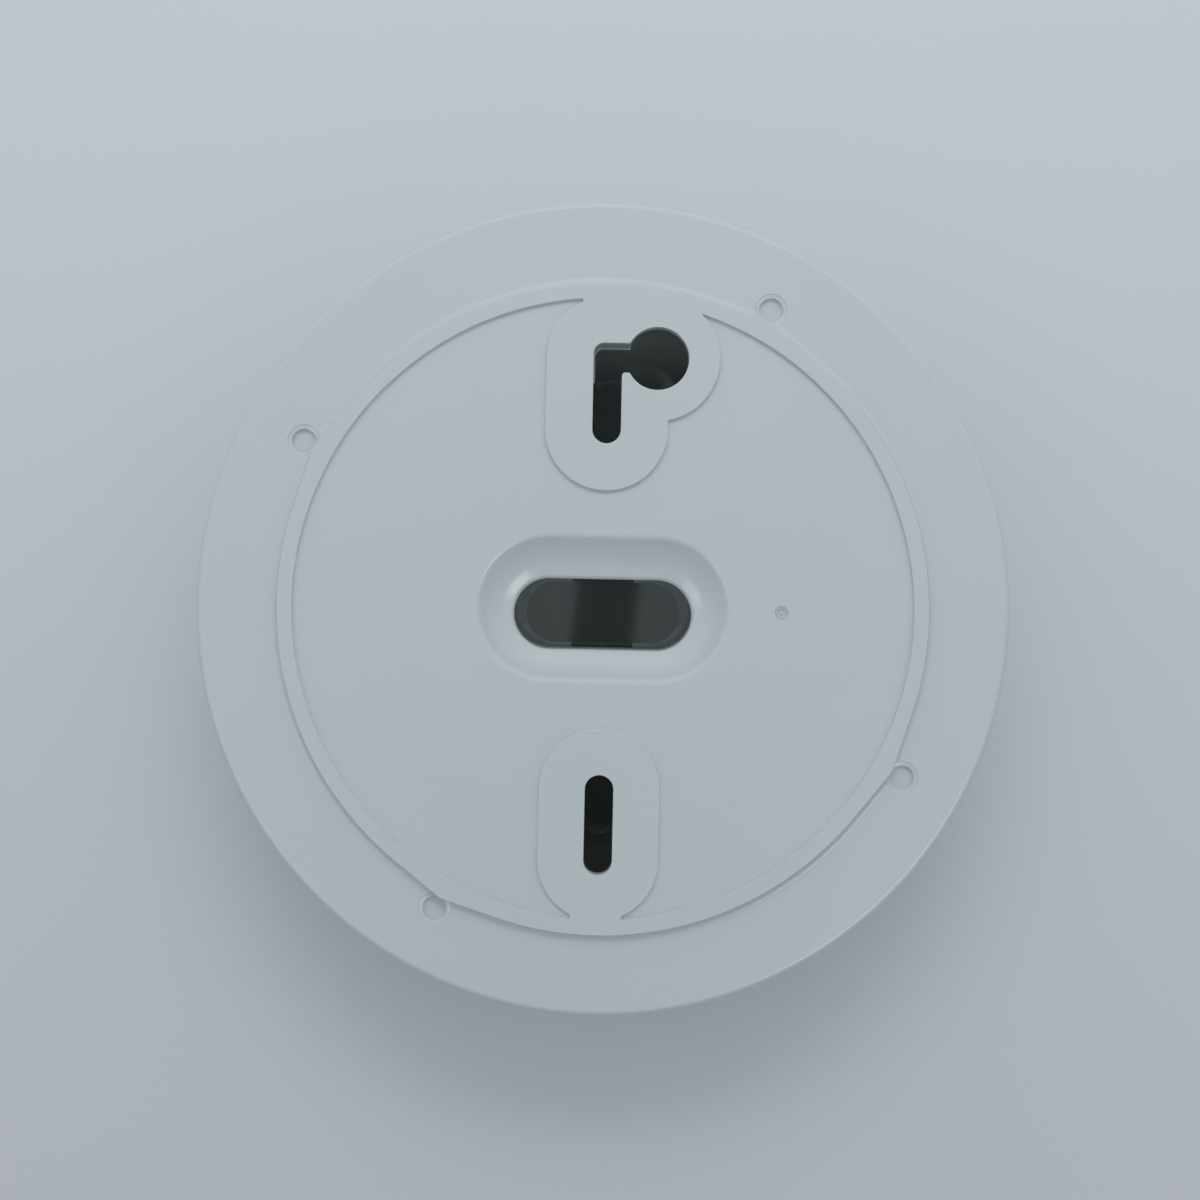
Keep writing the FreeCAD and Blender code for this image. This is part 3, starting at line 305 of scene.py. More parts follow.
def tip(radius, side):
    # middle of the rounding where the passage's wall meets the head, and its angle seen from there
    reach = HEAD_RADIUS + radius
    y = HEAD[1] + side * (PASSAGE + radius)
    x = HEAD[0] - math.sqrt(reach ** 2 - (y - HEAD[1]) ** 2)
    return (x, y), math.degrees(math.atan2(HEAD[1] - y, HEAD[0] - x))


lower, lower_turn = tip(LOWER_TIP, -1)
upper, upper_turn = tip(UPPER_TIP, 1)
keyhole = (arc((0, SLOT_Y - SLOT_RUN), SLOT_HALF, 180, 360, 28)
           + arc((SLOT_HALF + 0.5, ARCH - 4.6), 0.5, 180, 90, 7)
           + arc(lower, LOWER_TIP, 90, lower_turn, 4)
           + arc(HEAD, HEAD_RADIUS, lower_turn - 180, upper_turn + 180, 72)[1:-1]
           + arc(upper, UPPER_TIP, upper_turn, -90, 4)
           + arc((1.4 - SLOT_HALF, ARCH - 1.4), 1.4, 90, 180, 12))
carve(rear, column(keyhole, [(LIP, 0)] + rim(HEIGHT, EDGE) + [(HEIGHT + 1, EDGE)]))
carve(rear, flare(solid([(SLOT_HALF, 20), (SLOT_HALF, HEIGHT + 1)], run=SLOT_RUN,
                        centre=(0, -SLOT_Y), upright=True), HEIGHT, EDGE))

# cable entry: a rolled crest, a dished slope and a rolled lip above a straight throat
LIP_SHIFT, CREST = 0.74, 26.9
entry = solid(
    [(THROAT_BELOW, 5.0), (THROAT_BELOW, 22.3), (THROAT, 22.8), (THROAT, 23.6)]
    + arc((5.8, 23.6), 0.8, 165, 110, 4)
    + [(6.5, 24.55), (7.3, 24.95), (8.2, 25.5), (9.0, 26.2)]
    + arc((DISH, 25.95), 1.45, 138, 92, 6) + [(DISH, HEIGHT + 1)],
    run=CABLE_RUN, steps=64)
for vert in entry.data.vertices:
    # the lip of the throat stands a little off the middle of the dish, towards -Y
    if vert.co.z > 22.5:
        vert.co.y -= LIP_SHIFT * min(1.0, max(0.0, (CREST - vert.co.z) / 2.4))
carve(rear, entry)

# blind dimples over the four screw bosses, and the gate mark right of the cable entry
dimple = solid([(1.45, FLANGE - 0.8), (1.62, FLANGE - 0.7), (1.66, FLANGE - 0.3),
                (1.74, FLANGE - 0.2), (2.1, FLANGE - 0.13), (2.26, FLANGE - 0.1),
                (2.32, FLANGE + 0.001), (2.32, FLANGE + 1)],
               centre=(SCREW_CIRCLE, 0), steps=24)
carve(rear, around(dimple, SCREWS))
GATE_X = 25.2
gate = solid([(0.0, PLATE - 0.05), (0.2, PLATE - 0.06), (0.27, PLATE - 0.3), (0.6, PLATE - 0.33),
              (0.66, PLATE - 0.05), (0.78, PLATE - 0.04), (0.84, PLATE - 0.2),
              (0.93, PLATE - 0.03), (1.9, PLATE + 0.004), (1.9, PLATE + 1)],
             centre=(GATE_X, 0), steps=20)
carve(rear, gate)

# screw bosses under the dimples, each with a rib to the spigot and a pilot hole for its screw
BOSS, BOSS_END = 3.6, 12.0
boss = solid([(BOSS, BOSS_END), (BOSS, FLANGE_UNDER + 0.5)], centre=(SCREW_CIRCLE, 0), steps=24)
carve(boss, block((SCREW_CIRCLE + 2.6, -0.6, 20.8), (54.2, 0.6, FLANGE_UNDER + 0.5)), how="UNION")
carve(rear, around(boss, SCREWS), how="UNION")
carve(rear, around(solid([(1.5, 11.0), (1.5, 22.2), (0.9, 22.6)], centre=(SCREW_CIRCLE, 0),
                         steps=12), SCREWS))


def soften(body, width, test, segments=3, least=40):
    # rounds the sharp edges whose two ends pass the test
    shape = bmesh.new()
    shape.from_mesh(body.data)
    bmesh.ops.dissolve_degenerate(shape, dist=0.002, edges=shape.edges)
    shape.normal_update()
    picked = [edge for edge in shape.edges
              if edge.is_manifold and edge.calc_face_angle(0.0) > math.radians(least)
              and all(test(vert.co) for vert in edge.verts)]
    rounded(shape, picked, width, segments)
    shape.to_mesh(body.data)
    shape.free()


def level_with(height):
    # a test that only the points at one height pass
    return lambda at: abs(at.z - height) < 0.002


# small radius that the mould leaves on the edges inside
soften(rear, 0.25, level_with(FLOOR_REAR))
soften(rear, 0.2, level_with(BOSS_END))


def linear(text):
    # an sRGB hex colour as the linear values that a shader takes
    parts = [int(text[place:place + 2], 16) / 255 for place in (0, 2, 4)]
    return [part / 12.92 if part <= 0.04045 else ((part + 0.055) / 1.055) ** 2.4
            for part in parts] + [1.0]


def add_node(tree, kind, settings=(), **inputs):
    # a node with its settings, its values and its links; "_" in a socket's name is a space
    made = tree.nodes.new(kind)
    for key, setting in dict(settings).items():
        setattr(made, key, setting)
    for key, given in inputs.items():
        socket = made.inputs[int(key[1:])] if key[0] == "i" and key[1:].isdigit() \
            else made.inputs[key.replace("_", " ")]
        if isinstance(given, bpy.types.NodeSocket):
            tree.links.new(given, socket)
        else:
            socket.default_value = given
    return made


def new_material(name, **sockets):
    # a material with one Principled shader, whose plain values are set on its own sockets
    made = bpy.data.materials.new(name)
    made.use_nodes = True
    tree = made.node_tree
    shader = tree.nodes["Principled BSDF"]
    for key, given in sockets.items():
        shader.inputs[key.replace("_", " ")].default_value = given
    place = add_node(tree, "ShaderNodeTexCoord").outputs["Object"]
    return made, tree, shader, place


# White ABS from a polished mould: even cool white, half gloss, with the faint waviness of a
# cooling skin (about 6 mm) and a fine grain (about 0.25 mm) that breaks up the reflections.
abs_white, tree, shader, place = new_material("moulded_white_abs", Roughness=0.26, IOR=1.53)
wave = add_node(tree, "ShaderNodeTexNoise", Vector=place, Scale=160.0, Detail=2.0, Roughness=0.45)
grain = add_node(tree, "ShaderNodeTexNoise", Vector=place, Scale=4000.0, Detail=2.0)
soft = add_node(tree, "ShaderNodeBump", Height=wave.outputs["Fac"], Strength=0.04, Distance=0.0002)
fine = add_node(tree, "ShaderNodeBump", Height=grain.outputs["Fac"], Strength=0.10,
                Distance=0.00002, Normal=soft.outputs["Normal"])
tree.links.new(fine.outputs["Normal"], shader.inputs["Normal"])
shade = add_node(tree, "ShaderNodeTexNoise", Vector=place, Scale=45.0, Detail=3.0, Roughness=0.5)
tone = add_node(tree, "ShaderNodeMix", {"data_type": "RGBA"}, Factor=shade.outputs["Fac"],
                i6=linear("C6D0D5"), i7=linear("C9D3D8"))
tree.links.new(tone.outputs[2], shader.inputs["Base Color"])
gloss = add_node(tree, "ShaderNodeMapRange", Value=wave.outputs["Fac"], To_Min=0.22, To_Max=0.26)
tree.links.new(gloss.outputs["Result"], shader.inputs["Roughness"])


def finish_piece(made, body, material, slot, *nodes, name=None, sharp=35):
    # from millimetres to metres, shaded by its own roundings, and given to its body
    made.data.transform(Matrix.Scale(0.001, 4))
    made.data.materials.clear()
    made.data.materials.append(material)
    for flat in made.data.polygons:
        flat.use_smooth = True
    made.data.set_sharp_from_angle(angle=math.radians(sharp))
    even = made.modifiers.new("even_normals", "WEIGHTED_NORMAL")
    even.keep_sharp = True
    if name:
        made.name = name
    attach(made, body)
    if nodes:
        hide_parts(*nodes)
    return made


finish_piece(rear, "housing", abs_white, "housing_plastic", "rear_casing")

# Front casing: the visible body of the unit once it is up, the same white ABS.
# One moulding: tapered side wall with 24 sound outlets, the front rim, and the detector seat
# with three bayonet lugs, four terminal pedestals, and windows to the switches and the trimmer.
SEAT_RADIUS, SEAT_DEPTH, SEAT_WALL = 44.0, 7.5, 1.8
SIDE_TOP, SHELL_IN, RIM_IN, RIM_THICK = 57.2, 55.2, 52.4, 2.0
NOSE, NOSE_CIRCLE, SIDE_LEAN = 1.8, 52.605, 6.9
LUG_LOW, LUG_HIGH = 1.6, 4.28
PEDESTAL, PEDESTAL_BACK = 5.0, 8.5
SLEEVE, HEAD_BORE, SHANK_BORE = 4.0, 3.0, 1.65
POST, POST_BORE, PILLAR, PILLAR_BORE = 2.9, 1.25, 3.4, 2.1
TERMINALS = [35, 145, 215, 325]
TERMINAL_CIRCLE, TERMINAL_SCREW_Y = 34.5, 1.9
POSTS, POST_CIRCLE = [48, 132, 228, 312], 39.2
LUGS = [(0, 34), (120, 22), (240, 22)]
OUTLETS = [15 * number for number in range(24)]
OUTLET_HALF, OUTLET_LOW, OUTLET_HIGH = 1.2, 11.0, 19.5
TRIMMER, TRIMMER_WINDOW = (-17.0, -31.0), 3.6
BANK_X, BANK_HALF_X, BANK_HALF_Y, BANK_GAP = -30.0, 4.95, 8.92, 0.4
BANK_WINDOW_X, BANK_WINDOW_Y = BANK_HALF_X + BANK_GAP, BANK_HALF_Y + BANK_GAP

front = solid(
    [(0.0, FLOOR_REAR), (SEAT_RADIUS + SEAT_WALL, FLOOR_REAR),
     (SEAT_RADIUS + SEAT_WALL, RIM_THICK), (RIM_IN, RIM_THICK), (SHELL_IN, 20.0),
     (SHELL_IN, FLANGE_UNDER - 0.01), (SIDE_TOP - 0.2, FLANGE_UNDER - 0.01),
     (SIDE_TOP - 0.02, FLANGE_UNDER - 0.15)]
    + arc((NOSE_CIRCLE, NOSE), NOSE, -SIDE_LEAN, -90, 10)
    + arc((SEAT_RADIUS + 0.6, 0.6), 0.6, 270, 180, 4)
    + arc((SEAT_RADIUS - 0.3, SEAT_DEPTH - 0.3), 0.3, 0, 90, 3) + [(0.0, SEAT_DEPTH)],
    steps=ROUND, name="front_casing_moulding")


def swept(outline, start, sweep, steps=12):
    # a closed outline of distances out and heights, swung about the middle of the unit
    shape = bmesh.new()
    face = shape.faces.new([shape.verts.new((out, 0, high)) for out, high in outline])
    geom = [face] + list(face.edges) + list(face.verts)
    bmesh.ops.rotate(shape, verts=face.verts, cent=(0, 0, 0),
                     matrix=Matrix.Rotation(math.radians(start), 3, "Z"))
    bmesh.ops.spin(shape, geom=geom, cent=(0, 0, 0), axis=(0, 0, 1),
                   angle=math.radians(sweep), steps=steps, use_merge=False, use_duplicate=False)
    bmesh.ops.recalc_face_normals(shape, faces=shape.faces)
    return as_object(shape, "swept")


lug = [(SEAT_RADIUS + 0.5, LUG_LOW), (SEAT_RADIUS + 0.5, LUG_HIGH), (SEAT_RADIUS, LUG_HIGH),
       (SEAT_RADIUS - 2.2, 3.4), (SEAT_RADIUS - 2.2, LUG_LOW)]
# what stands on the seat: sleeves of the casing screws, posts of the board, pedestals and pillars
# of the terminals, bayonet lugs
carve(front,
      around(solid([(SLEEVE, 1.0), (SLEEVE, BOSS_END)], centre=(SCREW_CIRCLE, 0), steps=24),
             SCREWS),
      around(solid([(POST, 8.5), (POST, 13.6)], centre=(POST_CIRCLE, 0), steps=16), POSTS),
      around(block((29.0, -6.5, PEDESTAL), (40.0, 6.5, PEDESTAL_BACK)), TERMINALS),
      around(solid([(PILLAR, PEDESTAL_BACK), (PILLAR, 12.3)],
                   centre=(TERMINAL_CIRCLE, TERMINAL_SCREW_Y), steps=16), TERMINALS),
      *[swept(lug, start, sweep) for start, sweep in LUGS], how="UNION")
# what is cut: bores of the casing screws, pilot holes of the posts and the pillars, slits for the
# blades, the wells and the cable entry, windows to the switches and the trimmer, sound outlets
carve(front,
      around(solid([(HEAD_BORE, -1.0), (HEAD_BORE, 5.85), (HEAD_BORE - 0.15, 6.0)],
                   centre=(SCREW_CIRCLE, 0), steps=24), SCREWS),
      around(solid([(SHANK_BORE, 5.0), (SHANK_BORE, 13.0)], centre=(SCREW_CIRCLE, 0), steps=16),
             SCREWS),
      around(solid([(POST_BORE, FLOOR_REAR), (POST_BORE, 14.0)], centre=(POST_CIRCLE, 0),
                   steps=12), POSTS),
      around(solid([(PILLAR_BORE, 4.0), (PILLAR_BORE, 11.5)],
                   centre=(TERMINAL_CIRCLE, TERMINAL_SCREW_Y), steps=12), TERMINALS),
      around(block((30.3, -1.0, 4.0), (31.5, 1.0, 10.0)), TERMINALS),
      *on_pads(lambda pad: [(pad - WALL, 5), (pad - WALL, 12)]),
      solid([(THROAT_BELOW, 5), (THROAT_BELOW, 12)], run=CABLE_RUN),
      block((BANK_X - BANK_WINDOW_X, -BANK_WINDOW_Y, 5),
            (BANK_X + BANK_WINDOW_X, BANK_WINDOW_Y, 12)),
      solid([(TRIMMER_WINDOW, 5), (TRIMMER_WINDOW, 12)], centre=TRIMMER, steps=24),
      around(block((50.2, -OUTLET_HALF, OUTLET_LOW), (58.2, OUTLET_HALF, OUTLET_HIGH)), OUTLETS))
soften(front, 0.3, lambda at: math.hypot(at.x, at.y) > 53
       and OUTLET_LOW - 0.1 < at.z < OUTLET_HIGH + 0.1)
soften(front, 0.2, lambda at: level_with(SEAT_DEPTH)(at)
       and math.hypot(at.x, at.y) < SEAT_RADIUS - 0.4)
soften(front, 0.25, level_with(PEDESTAL))
soften(front, 0.2, level_with(0.0))
soften(front, 0.25, lambda at: LUG_LOW - 0.1 < at.z < LUG_HIGH + 0.02
       and math.hypot(at.x, at.y) < SEAT_RADIUS - 0.5, segments=2)
finish_piece(front, "housing", abs_white, "housing_plastic", "front_casing")

# Casing screws: four self-tapping pan heads of zinc-plated steel, cold formed and rolled.
# They go in from the front rim and hold the two casings together by the blind rear bosses.


def cut_thread(made, low, high, outer, core, pitch):
    # ridges of a rolled thread round a plain shank whose middle line is the z axis
    for vert in made.data.vertices:
        out = math.hypot(vert.co.x, vert.co.y)
        if low < vert.co.z < high and abs(out - outer) < 0.02:
            wave = (vert.co.z / pitch - math.atan2(vert.co.y, vert.co.x) / (2 * math.pi)) % 1
            ridge = max(0.0, 1 - abs(2 * wave - 1) * 1.9)
            fade = min(1.0, (vert.co.z - low) / pitch, (high - vert.co.z) / pitch)
            reach = (outer + (core - outer) * (1 - ridge) * fade) / out
            vert.co.x *= reach
            vert.co.y *= reach
    return made


def rows(radius, low, high, step):
    # evenly spaced points of a shank's profile
    count = round((high - low) / step)
    return [(radius, low + (high - low) * row / count) for row in range(count + 1)]


def set_down(made, centre, angle=0.0):
    # from the z axis to its place, and turned with it about the middle of the unit
    made.data.transform(Matrix.Rotation(math.radians(angle), 4, "Z")
                        @ Matrix.Translation((centre[0], centre[1], 0)))
    return made


# bright zinc: a cool metal whose clouds of about 1 mm vary its gloss and roughen it faintly
zinc, tree, shader, place = new_material("zinc_plated_steel", Metallic=1.0, Roughness=0.3)
cloud = add_node(tree, "ShaderNodeTexNoise", Vector=place, Scale=900.0, Detail=3.0)
tone = add_node(tree, "ShaderNodeMix", {"data_type": "RGBA"}, Factor=cloud.outputs["Fac"],
                i6=linear("C3C6C8"), i7=linear("D2D3D1"))
tree.links.new(tone.outputs[2], shader.inputs["Base Color"])
gloss = add_node(tree, "ShaderNodeMapRange", Value=cloud.outputs["Fac"], To_Min=0.24, To_Max=0.42)
tree.links.new(gloss.outputs["Result"], shader.inputs["Roughness"])
scratch = add_node(tree, "ShaderNodeBump", Height=cloud.outputs["Fac"], Strength=0.2,
                   Distance=0.00001)
tree.links.new(scratch.outputs["Normal"], shader.inputs["Normal"])

SHANK, CORE, PITCH = 1.45, 1.12, 1.25
CROSS_REACH, CROSS_HALF = 1.42, 0.3
for number, angle in enumerate(SCREWS, start=1):
    screw = solid(
        [(0.0, 3.8), (1.5, 3.82), (2.1, 4.02), (2.55, 4.45), (2.74, 4.9), (2.8, 5.4), (2.8, 5.85),
         (2.65, 6.0), (SHANK, 6.0)] + rows(SHANK, 6.3, 20.5, 0.13) + [(0.5, 21.95), (0.0, 22.0)],
        steps=16, name="casing_screw_%d_rolled" % number)
    cut_thread(screw, 7.0, 20.4, SHANK, CORE, PITCH)
    cross = block((-CROSS_REACH, -CROSS_HALF, 3.0), (CROSS_REACH, CROSS_HALF, 5.1))
    carve(cross, block((-CROSS_HALF, -CROSS_REACH, 3.0), (CROSS_HALF, CROSS_REACH, 5.1)),
          how="UNION")
    for vert in cross.data.vertices:
        if vert.co.z > 5:
            vert.co.x *= 0.6 if abs(vert.co.x) > 1 else 1
            vert.co.y *= 0.6 if abs(vert.co.y) > 1 else 1
    carve(screw, cross)
    soften(screw, 0.05, lambda at: at.z < 4.3 and math.hypot(at.x, at.y) < 1.6, segments=2)
    set_down(screw, (SCREW_CIRCLE, 0), angle)
    finish_piece(screw, "housing", zinc, "screw_steel", "casing_screw_%d" % number)

# Terminals: a bent contact blade of plated brass, a pressed steel wire clamp and its screw,
# four alike on the pedestals of the seat. The blade's tongue touches the detector's own contact.


def bar(outline, low, high, along):
    # a prism: its outline lies across the axis that it runs along, x or y
    made = column(outline, [(low, 0), (high, 0)])
    if along == "y":
        turn = Matrix(((1, 0, 0), (0, 0, 1), (0, 1, 0)))
    else:
        turn = Matrix(((0, 0, 1), (1, 0, 0), (0, 1, 0)))
    made.data.transform(turn.to_4x4())
    outward(made)
    return made


# tin-nickel over brass: a warm grey with brush marks of about 4 mm by 0.2 mm, all one way
plated, tree, shader, place = new_material("nickel_plated_brass", Metallic=1.0, Roughness=0.28)
stretch = add_node(tree, "ShaderNodeMapping", Vector=place)
stretch.inputs["Scale"].default_value = (250.0, 6000.0, 6000.0)
brushed = add_node(tree, "ShaderNodeTexNoise", Vector=stretch.outputs["Vector"], Scale=1.0,
                   Detail=2.0)
tone = add_node(tree, "ShaderNodeMix", {"data_type": "RGBA"}, Factor=brushed.outputs["Fac"],
                i6=linear("CDC8BC"), i7=linear("DAD6CC"))
tree.links.new(tone.outputs[2], shader.inputs["Base Color"])
scratch = add_node(tree, "ShaderNodeBump", Height=brushed.outputs["Fac"], Strength=0.25,
                   Distance=0.00001)
tree.links.new(scratch.outputs["Normal"], shader.inputs["Normal"])

# yellow passivated steel: a faint straw tint over grey metal in patches of about 2 mm, a little
# rougher than the screws
passivated, tree, shader, place = new_material("passivated_steel", Metallic=1.0, Roughness=0.38)
cloud = add_node(tree, "ShaderNodeTexNoise", Vector=place, Scale=500.0, Detail=3.0)
tone = add_node(tree, "ShaderNodeMix", {"data_type": "RGBA"}, Factor=cloud.outputs["Fac"],
                i6=linear("C6C0A6"), i7=linear("CFCBB8"))
tree.links.new(tone.outputs[2], shader.inputs["Base Color"])
gloss = add_node(tree, "ShaderNodeMapRange", Value=cloud.outputs["Fac"], To_Min=0.3, To_Max=0.46)
tree.links.new(gloss.outputs["Result"], shader.inputs["Roughness"])

STUD, STUD_CORE, STUD_PITCH = 1.75, 1.42, 0.6
BLADE_HALF, CLAMP_HALF, DRIVER_HALF, DRIVER_TURN = 4.0, 3.3, 0.45, 20
for number, angle in enumerate(TERMINALS, start=1):
    blade = bar([(5.0, 5.0), (-5.65, 5.0)] + arc((-5.65, 4.65), 0.35, 105, 165, 3)
                + [(-6.0, 4.65), (-6.0, 1.98)] + arc((-5.63, 1.99), 0.36, 195, 255, 3)
                + [(-5.6, 1.645), (-2.45, 1.975), (-2.2, 2.2), (-2.2, 2.8), (-5.2, 2.4),
                   (-5.2, 4.2), (5.0, 4.2)], -BLADE_HALF, BLADE_HALF, "x")
    carve(blade, solid([(2.02, 3.9), (2.02, 4.2), (1.82, 4.4), (1.82, 5.5)],
                       centre=(0, TERMINAL_SCREW_Y), steps=16))
    soften(blade, 0.09, lambda at: abs(at.x) > BLADE_HALF - 0.1, segments=2)
    carve(blade, block((-3.95, -0.75, 4.4), (-3.25, 0.75, 16.15)), how="UNION")
    set_down(blade, (TERMINAL_CIRCLE, 0), angle)
    finish_piece(blade, "housing", plated, "contact_plate", "contact_blade_%d" % number,
                 name="contact_blade_%d_bent" % number)

    clamp = bar([(-5.1, 2.4), (5.1, 2.4), (5.1, 3.9), (4.3, 3.9), (4.3, 3.2), (-4.3, 3.2),
                 (-4.3, 3.9), (-5.1, 3.9)][::-1],
                TERMINAL_SCREW_Y - CLAMP_HALF, TERMINAL_SCREW_Y + CLAMP_HALF, "y")
    carve(clamp, solid([(1.95, 2.0), (1.95, 4.0)], centre=(0, TERMINAL_SCREW_Y), steps=16))
    soften(clamp, 0.12, lambda at: abs(at.x) > 4.2, segments=2)
    set_down(clamp, (TERMINAL_CIRCLE, 0), angle)
    finish_piece(clamp, "clamp_%d" % number, passivated, "clamp_steel", "wire_clamp_%d" % number,
                 name="wire_clamp_%d_pressed" % number)

    screw = solid(
        [(0.0, 0.5), (2.0, 0.5), (2.4, 0.58), (2.75, 0.82), (2.95, 1.15), (3.0, 1.4), (3.0, 2.3),
         (2.9, 2.4), (STUD, 2.4)] + rows(STUD, 2.6, 9.9, 0.075) + [(1.3, 10.38), (0.0, 10.4)],
        steps=16, name="terminal_screw_%d_rolled" % number)
    cut_thread(screw, 2.8, 9.8, STUD, STUD_CORE, STUD_PITCH)
    carve(screw, block((-4, -DRIVER_HALF, 0), (4, DRIVER_HALF, 1.4)))
    soften(screw, 0.06, lambda at: at.z < 1.5 and abs(at.y) < DRIVER_HALF + 0.01, segments=2)
    screw.data.transform(Matrix.Rotation(math.radians(DRIVER_TURN), 4, "Z"))
    set_down(screw, (TERMINAL_CIRCLE, TERMINAL_SCREW_Y), angle)
    finish_piece(screw, "terminal_screw_%d" % number, zinc, "screw_steel",
                 "terminal_screw_%d" % number)

# Switch bank: six slide switches in one red moulding, set from the front with a small driver.
# The body is glass-filled nylon, moulded in one shot; the white levers slide in its six slots.
LEVERS, LEVER_PITCH, LEVER_SLOT, LEVER_RUN = 6, 2.54, 0.7, 1.5
BANK_LOW, BANK_HIGH = 8.6, 13.6
bank = block((BANK_X - BANK_HALF_X, -BANK_HALF_Y, BANK_LOW),
             (BANK_X + BANK_HALF_X, BANK_HALF_Y, BANK_HIGH))
for row in range(LEVERS):
    across = (row - (LEVERS - 1) / 2) * LEVER_PITCH
    carve(bank, block((BANK_X - LEVER_RUN, across - LEVER_SLOT, BANK_LOW - 1.6),
                      (BANK_X + LEVER_RUN, across + LEVER_SLOT, BANK_LOW + 2.0)))
soften(bank, 0.15, lambda at: at.z < BANK_LOW + 0.1 or abs(at.x - BANK_X) > BANK_HALF_X - 0.05,
       segments=2)
# red nylon: half dull, with a grain of about 0.3 mm from the glass fibres under its skin
red, tree, shader, place = new_material("moulded_red_nylon", Roughness=0.42, IOR=1.53,
                                        Base_Color=linear("A93A30"))
grain = add_node(tree, "ShaderNodeTexNoise", Vector=place, Scale=3000.0, Detail=2.0)
fine = add_node(tree, "ShaderNodeBump", Height=grain.outputs["Fac"], Strength=0.3,
                Distance=0.00002)
tree.links.new(fine.outputs["Normal"], shader.inputs["Normal"])
finish_piece(bank, "housing", red, "switch_body", "switch_bank", name="switch_bank_moulding")

# Finishes of the pieces whose plain shape is right: board, sounder, parts on the board, levers.
# Most of them show only through the outlets and windows, so each keeps one even real finish.


def coat(material, *nodes):
    # gives a finish to pieces that keep their own shape
    for node in nodes:
        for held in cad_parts[node].material_slots:
            held.material = material


def plain_finish(name, colour, *nodes, rough, scale, depth, metal=0.0):
    # an even finish with a fine grain; "scale" is its grains to the metre, "depth" their height
    made, tree, shader, place = new_material(name, Roughness=rough, Metallic=metal,
                                             Base_Color=linear(colour))
    grain = add_node(tree, "ShaderNodeTexNoise", Vector=place, Scale=scale, Detail=3.0)
    fine = add_node(tree, "ShaderNodeBump", Height=grain.outputs["Fac"], Strength=0.3,
                    Distance=depth)
    tree.links.new(fine.outputs["Normal"], shader.inputs["Normal"])
    coat(made, *nodes)
    return tree, shader, place


# green solder mask: a thin, half glossy lacquer with a grain of about 0.7 mm
tree, shader, place = plain_finish("green_solder_mask", "2C6B47", "circuit_board",
                                   rough=0.34, scale=1500.0, depth=0.00001)
# copper tracks show under the mask as a slightly paler net of about 1 mm by 2 mm
tracks = add_node(tree, "ShaderNodeTexBrick", {"offset": 0.5}, Vector=place, Scale=220.0,
                  Mortar_Size=0.03)
tracks.inputs["Color1"].default_value = linear("2A6744")
tracks.inputs["Color2"].default_value = linear("2E6F4A")
tracks.inputs["Mortar"].default_value = linear("3F8059")
tree.links.new(tracks.outputs["Color"], shader.inputs["Base Color"])
# black phenolic and epoxy: dull, with a sandy surface of about 0.4 mm from the mould
plain_finish("black_moulding", "242527", "sounder_chamber", "sounder_lid", "control_chip",
             "driver_chip", rough=0.5, scale=2500.0, depth=0.00002)
# rolled brass of the sounder's disc and the unglazed silvered ceramic on it, grain 0.5 mm
plain_finish("rolled_brass", "C9A560", "piezo_disc",
             rough=0.3, scale=1800.0, depth=0.000005, metal=1.0)
plain_finish("silvered_ceramic", "CFCBC0", "piezo_ceramic",
             rough=0.55, scale=2200.0, depth=0.00001)
# drawn aluminium cans, grain 0.8 mm, sintered ferrite, 0.3 mm, and the bright board screws
plain_finish("drawn_aluminium", "C9CBCD", "capacitor_large", "capacitor_small",
             rough=0.34, scale=1200.0, depth=0.000005, metal=1.0)
plain_finish("sintered_ferrite", "3A3B3C", "inductor", rough=0.62, scale=3500.0, depth=0.00002)
coat(zinc, *["board_screw_%d" % number for number in range(1, 5)])
# white acetal of the levers and the rotor, blue nylon of the trimmer's body, grain 0.4 mm
plain_finish("white_acetal", "E4E4E0", "trimmer_rotor",
             *["switch_lever_%d" % number for number in range(1, LEVERS + 1)],
             rough=0.38, scale=2500.0, depth=0.00001)
plain_finish("blue_nylon", "3A5AA0", "volume_trimmer", rough=0.42, scale=2500.0, depth=0.00002)

# The base lies front down on a pale laminate board, in soft room light with one wide window.
# The board is smooth and slightly blue, and runs past the view on every side.
BOARD_HALF = 8.0
board_top = bmesh.new()
bmesh.ops.create_grid(board_top, x_segments=1, y_segments=1, size=BOARD_HALF)
board_floor = as_object(board_top, "studio_floor")
# pale laminate: smooth enough to mirror, its tone drifting a little over about 70 mm
laminate, tree, shader, place = new_material("pale_laminate", Roughness=0.035, IOR=1.66)
drift = add_node(tree, "ShaderNodeTexNoise", Vector=place, Scale=14.0, Detail=2.0)
pale = add_node(tree, "ShaderNodeMix", {"data_type": "RGBA"}, Factor=drift.outputs["Fac"],
                i6=linear("CFD5DB"), i7=linear("D1D7DD"))
# under the base the board is painted darker, as painted shade that only shows through the openings:
# a painted shadow band fills the middle of the cable entry, with painted pools of light all round
# it, and the painted shade grows paler towards the far ends of the keyhole and of the slot, as
# painted light
PAINTED_SHADE_RADIUS, PAINTED_LIGHT_RADIUS = 0.045, 0.02
STRIP_RUN, STRIP_HALF, STRIP_Y, STRIP_MIDDLE = 0.00708, 0.00466, -0.0006, 0.0047
KEY_FADE, SLOT_FADE = (0.0335, 0.0415), (-0.037, -0.0325)
reach = add_node(tree, "ShaderNodeVectorMath", {"operation": "LENGTH"}, i0=place)
side = add_node(tree, "ShaderNodeSeparateXYZ", Vector=place)
width = add_node(tree, "ShaderNodeMath", {"operation": "ABSOLUTE"}, i0=side.outputs["X"])
over = add_node(tree, "ShaderNodeMath", {"operation": "SUBTRACT", "use_clamp": True},
                i0=width.outputs[0], i1=STRIP_RUN)
middle = add_node(tree, "ShaderNodeMath", {"operation": "SUBTRACT"}, i0=side.outputs["Y"],
                  i1=STRIP_Y)
rounds = add_node(tree, "ShaderNodeCombineXYZ", X=over.outputs[0], Y=middle.outputs[0])
